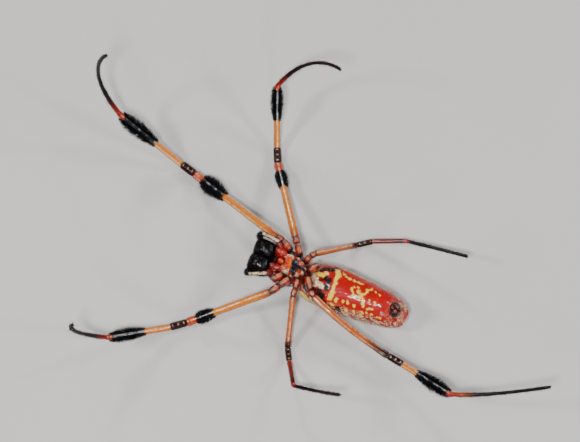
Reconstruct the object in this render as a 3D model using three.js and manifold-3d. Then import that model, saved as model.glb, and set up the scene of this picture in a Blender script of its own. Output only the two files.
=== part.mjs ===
// A female golden silk orb weaver at life size, lying on its back with its legs spread.
// Millimetres. +Z is the belly side, -Y the head end and +X the animal's right side.
// The origin is the middle of the flat that the abdomen's back makes on the floor.
// Two legs are lost at the hip, so the front right and the hind left leg are short stumps.
import * as THREE from "three";
import { mergeVertices } from "three/addons/utils/BufferGeometryUtils.js";
import Module from "manifold-3d";

const wasm = await Module();
wasm.setup();

// Driving dimensions of the body
const gap = 0.22; // clear space between touching pieces
const sunk = 0.04; // how far a rounded back is cut flat by the floor
const bodySides = 24;
const plateSides = 12;
const bulbSides = 12;
const limbSides = 10;
const abdomen = { length: 18.8, width: 7.3, height: 7.15, front: -9.35, shoulderZ: 1.9, tailZ: 3.3 };
const carapace = { length: 8.2, width: 6.0, headWidth: 4.6, front: -16.45, rim: 4.9, brow: 3.3, crown: 2.1 };
const hump = { x: 0.95, y: -13.7, high: 0.4, spread: 0.62 };
const plates = {
  sternum: {
    x: -0.3, front: -11.9, length: 3.8, width: 3.6, top: 7.1,
    lean: 0.2, power: 0.72, square: 0.6,
  },
  labium: {
    x: -0.32, front: -13.1, length: 1.0, width: 0.95, top: 7.0,
    lean: 0, power: 1, square: 0.6,
  },
  endite_left: {
    x: -1.66, front: -13.95, length: 1.9, width: 1.5, top: 7.05,
    lean: 0.15, power: 0.95, square: 0.4,
  },
  endite_right: {
    x: 0.92, front: -13.95, length: 1.9, width: 1.3, top: 7.05,
    lean: 0.15, power: 0.95, square: 0.4,
  },
};
const chelicera = {
  x: 1.33, y: -15.52, bottom: 3.6, top: 7.25, across: 1.18, deep: 1.52, square: 4,
};
const fang = { radius: 0.25, reach: 1.1 };
const pedicel = { from: -8.35, to: -7.1, z: 4.5, radius: 0.4 };
const spinneret = { y: 7.35, radius: 1.25, cone: 0.36, length: 0.85 };
const palp = { radius: 0.32, tarsus: 0.27 };
const palpJoints = {
  left: [
    [-2.6, -13.65, 6.2], [-3.08, -14.1, 6.5], [-3.35, -15.5, 6.3], [-3.55, -17.0, 5.9],
    [-2.75, -17.45, 5.4],
  ],
  right: [
    [1.95, -13.45, 6.1], [2.45, -13.95, 6.4], [2.98, -15.2, 6.3], [3.5, -16.5, 5.9],
    [3.0, -17.1, 5.4],
  ],
};
const eyeRadius = 0.27;
const tufts = { bare: 32, perRow: 5, width: 0.85, thick: 0.5, lean: 1.15 }; // locks of bristles

// Driving dimensions of the legs: radii of each pair, from the hip to the claw
const rootZ = 6.2;
const coxaPitch = -8;
const patellaPitch = 6.5;
const coxaTall = 1.6; // height of a coxa over its width
const girths = {
  1: { coxa: 0.6, femur: 0.64, knee: 0.76, patella: 0.67, tibia: 0.59, metatarsus: 0.4, tarsus: 0.26 },
  2: { coxa: 0.58, femur: 0.63, knee: 0.72, patella: 0.63, tibia: 0.57, metatarsus: 0.37, tarsus: 0.25 },
  3: { coxa: 0.5, femur: 0.49, knee: 0.53, patella: 0.48, tibia: 0.42, metatarsus: 0.29, tarsus: 0.25 },
  4: { coxa: 0.52, femur: 0.55, knee: 0.63, patella: 0.58, tibia: 0.54, metatarsus: 0.37, tarsus: 0.25 },
};

// Each leg: where it leaves the body, then the length and heading of each piece, and a pitch where it rises.
// A heading is in degrees from +X towards +Y. The foot is the metatarsus and tarsus, and bends from one
// direction to another, at first faster where a fourth number says so. A bow is how far a thigh curves
// sideways. A tuft runs between two shares of its piece, reaches so far from the axis and has so many rows.
const legs = [
  {
    name: "left_1", pair: 1, root: [-2.5, -11.65], coxa: [2.17, -121], trochanter: [1.04, -104.4],
    femur: [18.9, -109], patella: [2.66, -103.3], tibia: [13.2, -100.5, 30.5],
    foot: [18.5, [-111, 38], [99, 62]],
    femurTuft: [0.645, 0.85, 1.3, 2], tibiaTuft: [0.45, 0.93, 1.25, 5],
  },
  {
    name: "left_2", pair: 2, root: [-2.31, -9.96], coxa: [2.13, -145.3], trochanter: [1.07, -140.8],
    femur: [15.1, -145.7], patella: [2.68, -155], tibia: [10.8, -157.7, 41.2],
    foot: [16, [156, 41], [65, 34]],
    femurTuft: [0.69, 0.87, 1.0, 2], tibiaTuft: [0.47, 0.93, 1.08, 4],
  },
  {
    name: "left_3", pair: 3, root: [-1.6, -8.86], coxa: [1.37, 165.5], trochanter: [0.95, 142.5],
    femur: [9.1, 134.8], patella: [2.7, 124.3], tibia: [5.7, 107.4, 21.9],
    foot: [10.8, [95, 12], [91, 23]],
  },
  {
    name: "right_2", pair: 2, root: [1.74, -10.07], coxa: [2.06, -34.1], trochanter: [1.73, -33.2],
    femur: [14.9, -51.5], patella: [2.8, -50.3], tibia: [10.8, -51.4, 25],
    foot: [16, [-63, 39], [99, 74]],
    femurTuft: [0.69, 0.87, 1.0, 2], tibiaTuft: [0.44, 0.93, 1.12, 4],
  },
  {
    name: "right_3", pair: 3, root: [1.35, -8.9], coxa: [1.65, 7.1], trochanter: [1.16, 6.3],
    femur: [9.05, 15.7], patella: [2.3, 29], tibia: [5.6, 30.9, 33.7],
    foot: [10.8, [91, 31], [90, 56]],
  },
  {
    name: "right_4", pair: 4, root: [0.35, -7.78], coxa: [2.43, 35.4], trochanter: [0.96, 53.2],
    femur: [15.3, 74.8], bow: -0.45, kneeZ: 3.4, patella: [2.7, 80.3], tibia: [9.6, 75, 20.8],
    foot: [16.8, [96.4, 28.8], [117.5, 21.7], 0.4],
    tibiaTuft: [0.33, 0.93, 1.12, 4],
  },
];
const stumps = [
  { name: "left_4", pair: 4, root: [-0.35, -7.72], coxa: [2.07, 155] },
  { name: "right_1", pair: 1, root: [1.55, -11.3], coxa: [2.05, -43.2] },
];

const finishes = {
  amber: { color: 0xe8862a, roughness: 0.32 },
  red: { color: 0xc21a12, roughness: 0.3 },
  russet: { color: 0x7a2412, roughness: 0.3 },
  black: { color: 0x0d0c10, roughness: 0.28 },
  pale: { color: 0xd9c49a, roughness: 0.45 },
};

const model = new THREE.Group();

function smooth(from, to, value) {
  return THREE.MathUtils.smoothstep(value, from, to);
}

// A bulge of height 1 around a middle, falling off over a spread.
function bulge(value, middle, spread) {
  return Math.exp(-(((value - middle) / spread) ** 2));
}

// A unit vector from a heading and a pitch in degrees.
function direction(heading, pitch) {
  const h = THREE.MathUtils.degToRad(heading);
  const p = THREE.MathUtils.degToRad(pitch);
  return new THREE.Vector3(Math.cos(h) * Math.cos(p), Math.sin(h) * Math.cos(p), Math.sin(p));
}

// A closed solid through rings of equally many points, each end closed by a fan, to a tip where one is given.
function skin(rings, tip) {
  const sides = rings[0].length;
  const points = rings.flat();
  const faces = [];
  for (let ring = 0; ring + 1 < rings.length; ring++) {
    for (let side = 0; side < sides; side++) {
      const a = ring * sides + side;
      const b = ring * sides + ((side + 1) % sides);
      faces.push(a, b, b + sides, a, b + sides, a + sides);
    }
  }
  for (const ring of [0, rings.length - 1]) {
    const centre = new THREE.Vector3();
    rings[ring].forEach((point) => centre.addScaledVector(point, 1 / sides));
    const hub = points.push(ring > 0 && tip ? tip : centre) - 1;
    for (let side = 0; side < sides; side++) {
      const a = ring * sides + side;
      const b = ring * sides + ((side + 1) % sides);
      faces.push(...(ring === 0 ? [hub, b, a] : [hub, a, b]));
    }
  }
  return outward(points, faces);
}

// The solid of a closed set of faces, turned so that they face out.
function outward(points, faces) {
  let volume = 0;
  for (let i = 0; i < faces.length; i += 3) {
    const [a, b, c] = [points[faces[i]], points[faces[i + 1]], points[faces[i + 2]]];
    volume += a.dot(b.clone().cross(c));
  }
  if (volume < 0) faces.reverse();
  const geometry = new THREE.BufferGeometry().setFromPoints(points);
  geometry.setIndex(faces);
  return solidOf(geometry);
}

function solidOf(geometry) {
  geometry.deleteAttribute("normal");
  geometry.deleteAttribute("uv");
  const merged = mergeVertices(geometry, 1e-4);
  return new wasm.Manifold(
    new wasm.Mesh({
      numProp: 3,
      vertProperties: merged.attributes.position.array,
      triVerts: new Uint32Array(merged.index.array),
    }),
  );
}

// The largest closed body of a solid.
function largest(solid) {
  const bodies = solid.decompose();
  return bodies.reduce((best, body) => (body.volume() > best.volume() ? body : best));
}

// A tube along stations of { at, r, tall, face }. Its rings turn with the path but never about it, and a
// ring with a face lies in the plane that has that normal, so that two pieces meet on a mitre.
function tube(stations, sides = limbSides) {
  const count = stations.length;
  const way = (k) =>
    stations[Math.min(k + 1, count - 1)].at.clone().sub(stations[Math.max(k - 1, 0)].at).normalize();
  let side = new THREE.Vector3(0, 0, 1).cross(way(0));
  if (side.length() < 0.1) side.set(1, 0, 0);
  const rings = stations.map((station, k) => {
    const along = way(k);
    side.addScaledVector(along, -side.dot(along)).normalize();
    const up = along.clone().cross(side);
    return Array.from({ length: sides }, (_, s) => {
      const angle = (2 * Math.PI * (s + 0.5)) / sides;
      const point = side.clone().multiplyScalar(station.r * Math.cos(angle));
      point.addScaledVector(up, station.r * (station.tall ?? 1) * Math.sin(angle));
      if (station.face) point.addScaledVector(along, -point.dot(station.face) / along.dot(station.face));
      return point.add(station.at);
    });
  });
  return skin(rings);
}

// A straight piece from one point to another, whose radius follows [share, radius] pairs, with round edges.
function spindle(from, to, profile, { grow = 0, tall = 1, bow = 0, sides = limbSides, faces = [] } = {}) {
  const along = to.clone().sub(from).normalize();
  const sideways = new THREE.Vector3(0, 0, 1).cross(along).normalize();
  const length = to.distanceTo(from);
  const end = (share) => (share === 0 ? -grow : share === 1 ? grow : 0);
  return tube(
    profile.map(([share, radius]) => ({
      at: from
        .clone()
        .addScaledVector(along, share * length + end(share))
        .addScaledVector(sideways, bow * Math.sin(Math.PI * share)),
      r: radius + grow,
      tall,
      face: share === 0 ? faces[0] : share === 1 ? faces[1] : undefined,
    })),
    sides,
  );
}

// A body piece along Y. The ring at each share gives the half width, the low and high point and the middle.
function bodyAlongY(front, length, ringCount, sides, shape) {
  const rings = [];
  for (let k = 0; k < ringCount; k++) {
    const share = 0.5 - 0.5 * Math.cos((Math.PI * (k + 0.6)) / (ringCount + 0.2));
    rings.push(
      Array.from({ length: sides }, (_, s) => {
        const angle = (2 * Math.PI * (s + 0.5)) / sides;
        return shape(share, angle, front + share * length);
      }),
    );
  }
  return skin(rings);
}

// The rounding of a body's two ends, from 0 at the tips to 1 along the middle.
function rounding(share, power) {
  return Math.pow(1 - Math.pow(Math.abs(2 * share - 1), power), 1 / power);
}

// The abdomen: a long barrel, narrower behind, whose front leans over the back of the head part.
function abdomenPoint(share, angle, y) {
  const slim = 1 - 0.16 * smooth(0.32, 0.78, share);
  const halfWidth = (abdomen.width / 2) * rounding(share, 3) * slim;
  const fromFront = share * abdomen.length;
  const climb = 1 - Math.pow(Math.max(0, 1 - fromFront / 6), 2.2);
  const drop = Math.pow(Math.max(0, (share - 0.72) / 0.28), 2.3);
  const crest = abdomen.height - sunk * 3;
  const rise = (crest - abdomen.shoulderZ) * Math.pow(climb, 1.1);
  const high = abdomen.shoulderZ + rise - (crest - abdomen.tailZ) * drop;
  const shoulder = Math.pow(Math.max(0, 1 - fromFront / 2.6), 2.4);
  const rump = Math.pow(Math.max(0, (share - 0.7) / 0.3), 2.6);
  const low = -sunk * 3 + (abdomen.shoulderZ + sunk * 3) * shoulder + (abdomen.tailZ + sunk * 3) * rump;
  const middle = (low + high) / 2;
  return new THREE.Vector3(halfWidth * Math.cos(angle), y, middle + ((high - low) / 2) * Math.sin(angle));
}

// The carapace: flat below the legs, and domed towards the floor, with a narrow raised head that bears two
// humps.
function carapacePoint(share, angle, y) {
  const waist = 1 - (1 - carapace.headWidth / carapace.width) * (1 - smooth(0.28, 0.52, share));
  const halfWidth = (carapace.width / 2) * rounding(share, 2.6) * waist;
  const rim = carapace.brow + (carapace.rim - carapace.brow) * smooth(0.12, 0.34, share);
  const groove = 0.35 * bulge(share, 0.5, 0.07) + 0.3 * bulge(share, 0.7, 0.08);
  const rise = 0.7 * smooth(0.42, 0.6, share);
  const crown = carapace.crown + rise + groove;
  const dome = rounding(share, 2.4);
  const edge = rim - 0.35;
  const x = halfWidth * Math.cos(angle);
  if (Math.sin(angle) > 0) {
    return new THREE.Vector3(x, y, edge + (rim - edge) * Math.pow(Math.sin(angle), 0.4));
  }
  const bump = hump.high * bulge(Math.abs(x), hump.x, hump.spread) * bulge(y, hump.y, hump.spread * 1.5);
  const depth = (edge - crown) * dome * Math.pow(-Math.sin(angle), 0.85);
  return new THREE.Vector3(x, y, edge - depth - bump);
}

// A plate on the underside: rounded outline, flat below and crowned above.
function plate({ x, front, length, width, top, lean, power, square }) {
  const bottom = carapace.rim + gap;
  return bodyAlongY(front, length, 7, plateSides, (share, angle, y) => {
    const outline = Math.pow(Math.sin(Math.PI * Math.pow(0.04 + 0.92 * share, power)), square);
    const crown = top - 0.22 * Math.cos(angle) ** 2 - 0.25 * (1 - rounding(share, 3));
    const middle = (crown + bottom) / 2;
    const round = Math.sign(Math.sin(angle)) * Math.pow(Math.abs(Math.sin(angle)), 0.6);
    const side = x + lean * (share - 0.5) + (width / 2) * outline * Math.cos(angle);
    return new THREE.Vector3(side, y, middle + ((crown - bottom) / 2) * round);
  });
}

// The places of a leg's joints, worked out from its lengths and headings.
function jointsOf(leg) {
  const girth = girths[leg.pair];
  const step = (from, [length, heading, pitch], fallback) =>
    from.clone().addScaledVector(direction(heading, pitch ?? fallback), length);
  const root = new THREE.Vector3(leg.root[0], leg.root[1], rootZ);
  const coxa = step(root, leg.coxa, coxaPitch);
  if (!leg.femur) return { root, coxa };
  const hip = step(coxa, leg.trochanter, coxaPitch);
  const kneeZ = leg.kneeZ ?? girth.knee - sunk;
  const femurPitch = THREE.MathUtils.radToDeg(Math.asin((kneeZ - hip.z) / leg.femur[0]));
  const knee = step(hip, leg.femur, femurPitch);
  const shin = step(knee, leg.patella, patellaPitch);
  const heel = step(shin, leg.tibia);
  const foot = footPoints(heel, leg.foot);
  return { root, coxa, hip, knee, shin, heel, toe: foot[1], foot };
}

// The points of a foot: steps of equal length whose direction swings from the first to the last.
function footPoints(heel, [length, first, last, ease = 1]) {
  const steps = 7;
  const from = direction(...first);
  const swing = new THREE.Quaternion().setFromUnitVectors(from, direction(...last));
  const points = [heel.clone()];
  for (let k = 0; k < steps; k++) {
    const turn = new THREE.Quaternion().slerp(swing, Math.pow((k + 0.5) / steps, ease));
    const along = from.clone().applyQuaternion(turn);
    points.push(points[k].clone().addScaledVector(along, length / steps));
  }
  return points;
}

// The mitre between the pieces on either side of a joint: its normal halves the bend.
function mitre(before, joint, after) {
  const back = joint.clone().sub(before).normalize();
  return after.clone().sub(joint).normalize().add(back).normalize();
}

// A piece of a leg between two of its joints, mitred on its neighbours and clear of them by half the gap.
function legPiece(joints, names, profile, options = {}) {
  const [before, from, to, after] = names.map((name) => joints[name]);
  const along = to.clone().sub(from).normalize();
  const first = mitre(before, from, to);
  const last = mitre(from, to, after);
  const start = from.clone().addScaledVector(along, gap / 2 / along.dot(first));
  const end = to.clone().addScaledVector(along, -gap / 2 / along.dot(last));
  return spindle(start, end, profile, { ...options, faces: [first, last] });
}

// The coxa, and past a groove the trochanter where the leg goes on.
function hipPiece(leg, grow = 0) {
  const joints = jointsOf(leg);
  const { root, coxa, hip, knee } = joints;
  const r = girths[leg.pair].coxa;
  const base = spindle(
    root,
    coxa,
    [[0, r * 0.72], [0.08, r * 0.95], [0.45, r * 1.1], [0.85, r * 1.02], [1, r * 0.8]],
    { grow, tall: coxaTall },
  );
  if (!hip) return base;
  const overlap = coxa.clone().lerp(root, 0.2);
  const face = mitre(coxa, hip, knee);
  const along = hip.clone().sub(coxa).normalize();
  const end = hip.clone().addScaledVector(along, -gap / 2 / along.dot(face));
  const ring = [[0, r * 0.6], [0.25, r * 0.75], [0.5, r * 1.12], [0.85, r * 1.1], [1, r * 0.85]];
  return base.add(spindle(overlap, end, ring, { grow, faces: [undefined, face] }));
}

function femurProfile(leg) {
  const { femur, knee } = girths[leg.pair];
  const start = [[0, femur * 0.8], [0.02, femur * 1.04], [0.1, femur * 1.06]];
  const shaft = [[0.35, femur], [0.62, femur * 0.94], [0.82, femur], [0.91, femur * 1.05]];
  return [...start, ...shaft, [0.955, knee], [0.985, knee * 0.97], [1, knee * 0.78]];
}

function tibiaProfile(leg) {
  const { tibia } = girths[leg.pair];
  const shaft = [[0, tibia * 0.75], [0.03, tibia], [0.15, tibia * 0.96], [0.5, tibia * 0.92]];
  return [...shaft, [0.94, tibia * 0.92], [1, tibia * 0.72]];
}

// Seeded random numbers from 0 to 1.
function draws(seed) {
  let state = seed;
  return () => {
    state = (state * 1664525 + 1013904223) % 4294967296;
    return state / 4294967296;
  };
}

// One lock of bristles: a flat blade that leaves the axis outwards, bends towards the foot and ends in a
// point.
function lock(root, along, out, { sunkTo, reach, lean, width, thick }) {
  const across = along.clone().cross(out);
  const spine = (u) =>
    root
      .clone()
      .addScaledVector(out, sunkTo + (reach - sunkTo) * (1 - Math.pow(1 - u, 1.3)))
      .addScaledVector(along, lean * Math.pow(u, 1.25));
  const rings = [[0, 1, 1], [0.42, 0.95, 0.85], [0.76, 0.6, 0.5]].map(([u, wide, deep]) => {
    const way = spine(u + 0.05).sub(spine(u)).normalize();
    const face = way.clone().cross(across);
    return [[1, 0], [0, 1], [-1, 0], [0, -1]].map(([a, b]) =>
      spine(u).addScaledVector(across, (a * wide * width) / 2).addScaledVector(face, (b * deep * thick) / 2),
    );
  });
  return skin(rings, spine(1));
}

// Rows of locks round a piece, staggered, with a bare strip along the underside that faces up.
function tuft(joints, from, to, girth, [first, last, reach, rows], seed) {
  const draw = draws(seed);
  const along = joints[to].clone().sub(joints[from]).normalize();
  const side = new THREE.Vector3(0, 0, 1).cross(along).normalize();
  const up = along.clone().cross(side);
  const { bare, perRow, width, thick, lean } = tufts;
  const locks = [];
  for (let row = 0; row < rows; row++) {
    for (let k = 0; k < perRow; k++) {
      const share = first + ((last - first) * (row + 0.3 * (draw() - 0.5))) / rows;
      const step = k + (row % 2 ? 0.3 : 0.7) + 0.3 * (draw() - 0.5);
      const turn = bare + ((360 - 2 * bare) * step) / perRow;
      const angle = THREE.MathUtils.degToRad(turn);
      const out = up.clone().multiplyScalar(Math.cos(angle)).addScaledVector(side, Math.sin(angle));
      const root = joints[from].clone().lerp(joints[to], share);
      const ends = 1 - 0.22 * Math.abs((2 * (row + 0.5)) / rows - 1);
      const bend = lean * (0.85 + 0.3 * draw());
      const room = out.z < -0.1 ? (root.z + along.z * bend - gap) / -out.z : Infinity;
      const far = Math.min(reach * ends * (0.92 + 0.16 * draw()), room);
      locks.push(lock(root, along, out, { sunkTo: girth * 0.3, reach: far, lean: bend, width, thick }));
    }
  }
  return locks;
}

// The metatarsus tapers into the tarsus, which ends in the claws.
function footPiece(leg, joints) {
  const { metatarsus, tarsus } = girths[leg.pair];
  const last = joints.foot.length - 1;
  const face = mitre(joints.shin, joints.heel, joints.toe);
  const along = joints.toe.clone().sub(joints.heel).normalize();
  const start = joints.heel.clone().addScaledVector(along, gap / 2 / along.dot(face));
  const ends = (k) => (k === 0 ? 0.85 : k === last ? 0.55 : 1);
  const stations = joints.foot.map((at, k) => ({
    at: k === 0 ? start : at,
    r: THREE.MathUtils.lerp(metatarsus, tarsus, smooth(0, 0.6, k / last)) * ends(k),
    face: k === 0 ? face : undefined,
  }));
  return tube(stations, 8);
}

// Cuts a piece flat where it meets the floor.
const belowFloor = solidOf(new THREE.BoxGeometry(200, 200, 20).translate(0, 0, -10));

function place(name, solid, finish) {
  const body = largest(solid.subtract(belowFloor));
  const mesh = body.getMesh();
  const geometry = new THREE.BufferGeometry();
  const corners = new Float32Array(mesh.vertProperties);
  geometry.setAttribute("position", new THREE.BufferAttribute(corners, 3));
  geometry.setIndex(new THREE.BufferAttribute(new Uint32Array(mesh.triVerts), 1));
  geometry.computeVertexNormals();
  const material = new THREE.MeshStandardMaterial({ ...finishes[finish], metalness: 0 });
  const piece = new THREE.Mesh(geometry, material);
  piece.name = name;
  model.add(piece);
}

// The hips, each cut clear of the ones before it
const hips = [];
for (const leg of [...legs, ...stumps]) {
  let solid = hipPiece(leg);
  hips.filter((other) => other.leg !== leg).forEach((other) => {
    solid = solid.subtract(hipPiece(other.leg, gap));
  });
  hips.push({ leg, solid });
  place(leg.femur ? `leg_${leg.name}_coxa` : `stump_${leg.name}_coxa`, solid, "russet");
}
const hipRoom = hips.map(({ leg }) => hipPiece(leg, gap)).reduce((all, solid) => all.add(solid));

// The legs beyond the hips
for (const leg of legs) {
  const joints = jointsOf(leg);
  const { patella } = girths[leg.pair];
  const thigh = { bow: leg.bow ?? 0 };
  const dome = [[0, patella * 0.8], [0.12, patella], [0.5, patella * 1.03]];
  const cap = [...dome, [0.88, patella * 0.95], [1, patella * 0.75]];
  place(`leg_${leg.name}_patella`, legPiece(joints, ["hip", "knee", "shin", "heel"], cap), "russet");
  const upper = legPiece(joints, ["coxa", "hip", "knee", "shin"], femurProfile(leg), thigh);
  const lower = legPiece(joints, ["knee", "shin", "heel", "toe"], tibiaProfile(leg));
  const { femur, tibia } = girths[leg.pair];
  const seed = 11 + legs.indexOf(leg);
  const upperLocks = leg.femurTuft ? tuft(joints, "hip", "knee", femur, leg.femurTuft, seed) : [];
  const lowerLocks = leg.tibiaTuft ? tuft(joints, "shin", "heel", tibia, leg.tibiaTuft, seed * 7) : [];
  place(`leg_${leg.name}_femur`, wasm.Manifold.union([upper, ...upperLocks]), "amber");
  place(`leg_${leg.name}_tibia`, wasm.Manifold.union([lower, ...lowerLocks]), "black");
  place(`leg_${leg.name}_foot`, footPiece(leg, joints), "black");
}

// The pedicel, a short stalk whose two ends sit in sockets
const stalk = (grow) => {
  const ends = [pedicel.from, pedicel.to].map((y) => new THREE.Vector3(0, y, pedicel.z));
  return spindle(...ends, [[0, pedicel.radius], [0.5, pedicel.radius * 0.85], [1, pedicel.radius]], { grow });
};
place("pedicel", stalk(0), "russet");

// The spinnerets: six blunt cones on a low mound, sunk into the end of the belly
function spinneretMound(grow) {
  const out = new THREE.Vector3(0, 0.62, 0.78).normalize();
  const surface = abdomenPoint((spinneret.y - abdomen.front) / abdomen.length, Math.PI / 2, spinneret.y);
  const from = surface.clone().addScaledVector(out, -0.75);
  const to = surface.clone().addScaledVector(out, 0.18);
  const r = spinneret.radius;
  const mound = spindle(from, to, [[0, r * 0.8], [0.2, r], [0.8, r * 0.9], [1, r * 0.7]], { grow });
  if (grow) return mound;
  const across = new THREE.Vector3(1, 0, 0);
  const down = out.clone().cross(across);
  return [-1, 0, 1].reduce((all, row) => {
    return [-1, 1].reduce((sum, side) => {
      const spread = spinneret.cone * (row === 0 ? 1.0 : 1.25);
      const foot = to.clone().addScaledVector(across, side * spread);
      foot.addScaledVector(down, row * spinneret.cone * 1.5);
      const tip = foot.clone().addScaledVector(out, spinneret.length * (row === 0 ? 0.6 : 0.9));
      tip.addScaledVector(across, -side * 0.12).addScaledVector(down, -row * 0.2);
      foot.addScaledVector(out, -0.35);
      const { cone } = spinneret;
      return sum.add(spindle(foot, tip, [[0, cone], [0.6, cone * 0.95], [1, cone * 0.45]], { sides: 6 }));
    }, all);
  }, mound);
}
place("spinnerets", spinneretMound(0), "russet");

// The abdomen, with room for the stalk, the spinnerets, the hind hips and the thigh that lies over it
const thigh = legs.find((leg) => leg.name === "right_4");
const thighJoints = jointsOf(thigh);
const thighOptions = { grow: gap, bow: thigh.bow };
const thighRoom = spindle(thighJoints.hip, thighJoints.knee, femurProfile(thigh), thighOptions);
const barrel = bodyAlongY(abdomen.front, abdomen.length, 20, bodySides, abdomenPoint);
const rooms = [stalk(gap), spinneretMound(gap), hipRoom, thighRoom];
place("abdomen", rooms.reduce((solid, room) => solid.subtract(room), barrel), "red");

// The eyes: two rows of four across the front of the head, each set in its socket
const eyePlaces = [
  { name: "median_front", x: 0.42, z: 2.75 },
  { name: "median_rear", x: 0.5, z: 2.2 },
  { name: "lateral_front", x: 1.6, z: 3.0 },
  { name: "lateral_rear", x: 2.0, z: 2.55 },
];
const sides = { left: -1, right: 1 };
const shell = bodyAlongY(carapace.front, carapace.length, 16, bodySides, carapacePoint);

// The point of the head's front that shows at a place seen from ahead.
function browAt(x, z) {
  let nearest = { off: Infinity };
  for (let share = 0.003; share < 0.3; share += 0.003) {
    for (let angle = Math.PI; angle < 2 * Math.PI; angle += 0.02) {
      const point = carapacePoint(share, angle, carapace.front + share * carapace.length);
      const off = Math.hypot(point.x - x, point.z - z);
      if (off < nearest.off) nearest = { off, point };
    }
  }
  return nearest.point;
}
const ball = (at, radius) => solidOf(new THREE.IcosahedronGeometry(radius, 1).translate(at.x, at.y, at.z));
let head = shell.subtract(stalk(gap));
for (const sign of [-1, 1]) head = head.subtract(cheliceraPiece(sign, gap));
for (const [side, sign] of Object.entries(sides)) {
  for (const { name, x, z } of eyePlaces) {
    const at = browAt(sign * x, z);
    place(`eye_${name}_${side}`, ball(at, eyeRadius), "black");
    head = head.subtract(ball(at, eyeRadius + gap / 2));
  }
}
place("carapace", head, "russet");

// The plates of the underside, clear of the hips and of the jaws
const jawRoom = cheliceraPiece(-1, gap).add(cheliceraPiece(1, gap));
const plateFinishes = { sternum: "russet", labium: "pale", endite_left: "red", endite_right: "red" };
for (const [name, shape] of Object.entries(plates)) {
  place(name, plate(shape).subtract(hipRoom).subtract(jawRoom), plateFinishes[name]);
}

// The chelicerae: two stout bulbs that stand on the front of the head, each with its fang folded
// across the end. Their rings are squared ellipses.
function cheliceraPiece(sign, grow = 0) {
  const { x, y, bottom, top, across, deep, square } = chelicera;
  const profile = [[0, 0.88], [0.4, 1.06], [0.7, 1.04], [0.87, 0.9], [0.95, 0.7], [1, 0.44]];
  const rings = profile.map(([share, size]) =>
    Array.from({ length: bulbSides }, (_, s) => {
      const angle = (2 * Math.PI * (s + 0.5)) / bulbSides;
      const [c, d] = [Math.cos(angle), Math.sin(angle)];
      const full = size * Math.pow(Math.abs(c) ** square + Math.abs(d) ** square, -1 / square);
      const lean = -0.3 * share * share;
      return new THREE.Vector3(
        sign * (x + lean * 0.4) + (across * full + grow) * c,
        y + lean * 0.6 + (deep * full + grow) * d,
        THREE.MathUtils.lerp(bottom - grow, top + grow, share),
      );
    }),
  );
  return skin(rings);
}

function fangPiece(sign) {
  const { top, x, y } = chelicera;
  const z = top + gap + fang.radius;
  const stations = [0, 0.25, 0.5, 0.75, 1].map((share) => ({
    at: new THREE.Vector3(
      sign * (x + 0.3 - fang.reach * share),
      y - 0.55 + 0.95 * share * share,
      z + 0.12 * Math.sin(Math.PI * share),
    ),
    r: fang.radius * (1 - 0.75 * share * share),
  }));
  return tube(stations, 8);
}

// The feelers: each leaves its endite, runs along the fang base and turns its dark tip inwards
function palpPieces(side) {
  const joints = palpJoints[side].map((joint) => new THREE.Vector3(...joint));
  const r = palp.radius;
  const arm = tube([
    { at: joints[0], r: r * 0.8 },
    { at: joints[1], r },
    { at: joints[2], r: r * 1.05 },
    { at: joints[2].clone().lerp(joints[3], 0.45), r: r * 0.9 },
    { at: joints[3], r: r * 0.85 },
  ]);
  const [from, to] = [joints[3].clone().lerp(joints[4], 0.12), joints[4]];
  from.addScaledVector(new THREE.Vector3(0, -1, -0.3), gap * 1.6);
  const t = palp.tarsus;
  const tarsus = spindle(from, to, [[0, t * 0.9], [0.2, t * 1.15], [0.6, t], [1, t * 0.4]]);
  return { arm, tarsus };
}

const armRoom = plate(plates.endite_left).add(plate(plates.endite_right)).add(jawRoom).add(hipRoom);
for (const [side, sign] of Object.entries(sides)) {
  place(`chelicera_${side}`, cheliceraPiece(sign), "black");
  place(`fang_${side}`, fangPiece(sign), "black");
  const { arm, tarsus } = palpPieces(side);
  place(`palp_${side}_arm`, arm.subtract(armRoom), "pale");
  place(`palp_${side}_tarsus`, tarsus.subtract(jawRoom), "black");
}

export default model;
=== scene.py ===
import bpy
import numpy as np
from mathutils import Matrix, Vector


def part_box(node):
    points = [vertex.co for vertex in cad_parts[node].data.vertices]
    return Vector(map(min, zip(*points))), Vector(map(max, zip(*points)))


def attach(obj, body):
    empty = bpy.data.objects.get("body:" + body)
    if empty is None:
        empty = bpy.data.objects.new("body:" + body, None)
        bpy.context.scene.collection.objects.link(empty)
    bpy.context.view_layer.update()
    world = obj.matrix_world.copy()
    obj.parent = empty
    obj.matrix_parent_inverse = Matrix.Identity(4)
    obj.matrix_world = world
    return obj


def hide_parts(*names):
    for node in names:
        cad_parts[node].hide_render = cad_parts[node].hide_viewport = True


# A female golden silk orb weaver at life size, lying on its back with its legs spread.
# Shapes are worked out in millimetres. +Z is the belly side, -Y the head end, +X the animal's right side.

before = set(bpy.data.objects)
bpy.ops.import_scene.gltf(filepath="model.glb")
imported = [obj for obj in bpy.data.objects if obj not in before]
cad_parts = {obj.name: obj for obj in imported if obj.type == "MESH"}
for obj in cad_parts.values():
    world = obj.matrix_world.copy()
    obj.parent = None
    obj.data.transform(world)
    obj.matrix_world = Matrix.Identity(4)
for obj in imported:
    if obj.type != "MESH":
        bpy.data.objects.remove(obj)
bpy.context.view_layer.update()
mm = 0.001
fullTurn = 2 * np.pi
print("frame loaded")


# Small helpers for arrays

def unit(vectors):  # each vector over its own length
    return vectors / np.linalg.norm(vectors, axis=-1, keepdims=True)


def fade(low, high, value):  # 0 at low, 1 at high, with a smooth rise between
    t = np.clip((np.asarray(value, float) - low) / (high - low), 0, 1)
    return t * t * (3 - 2 * t)


def hill(value, middle, spread):  # 1 at the middle, falling off as a bell
    return np.exp(-(((np.asarray(value, float) - middle) / spread) ** 2))


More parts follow.
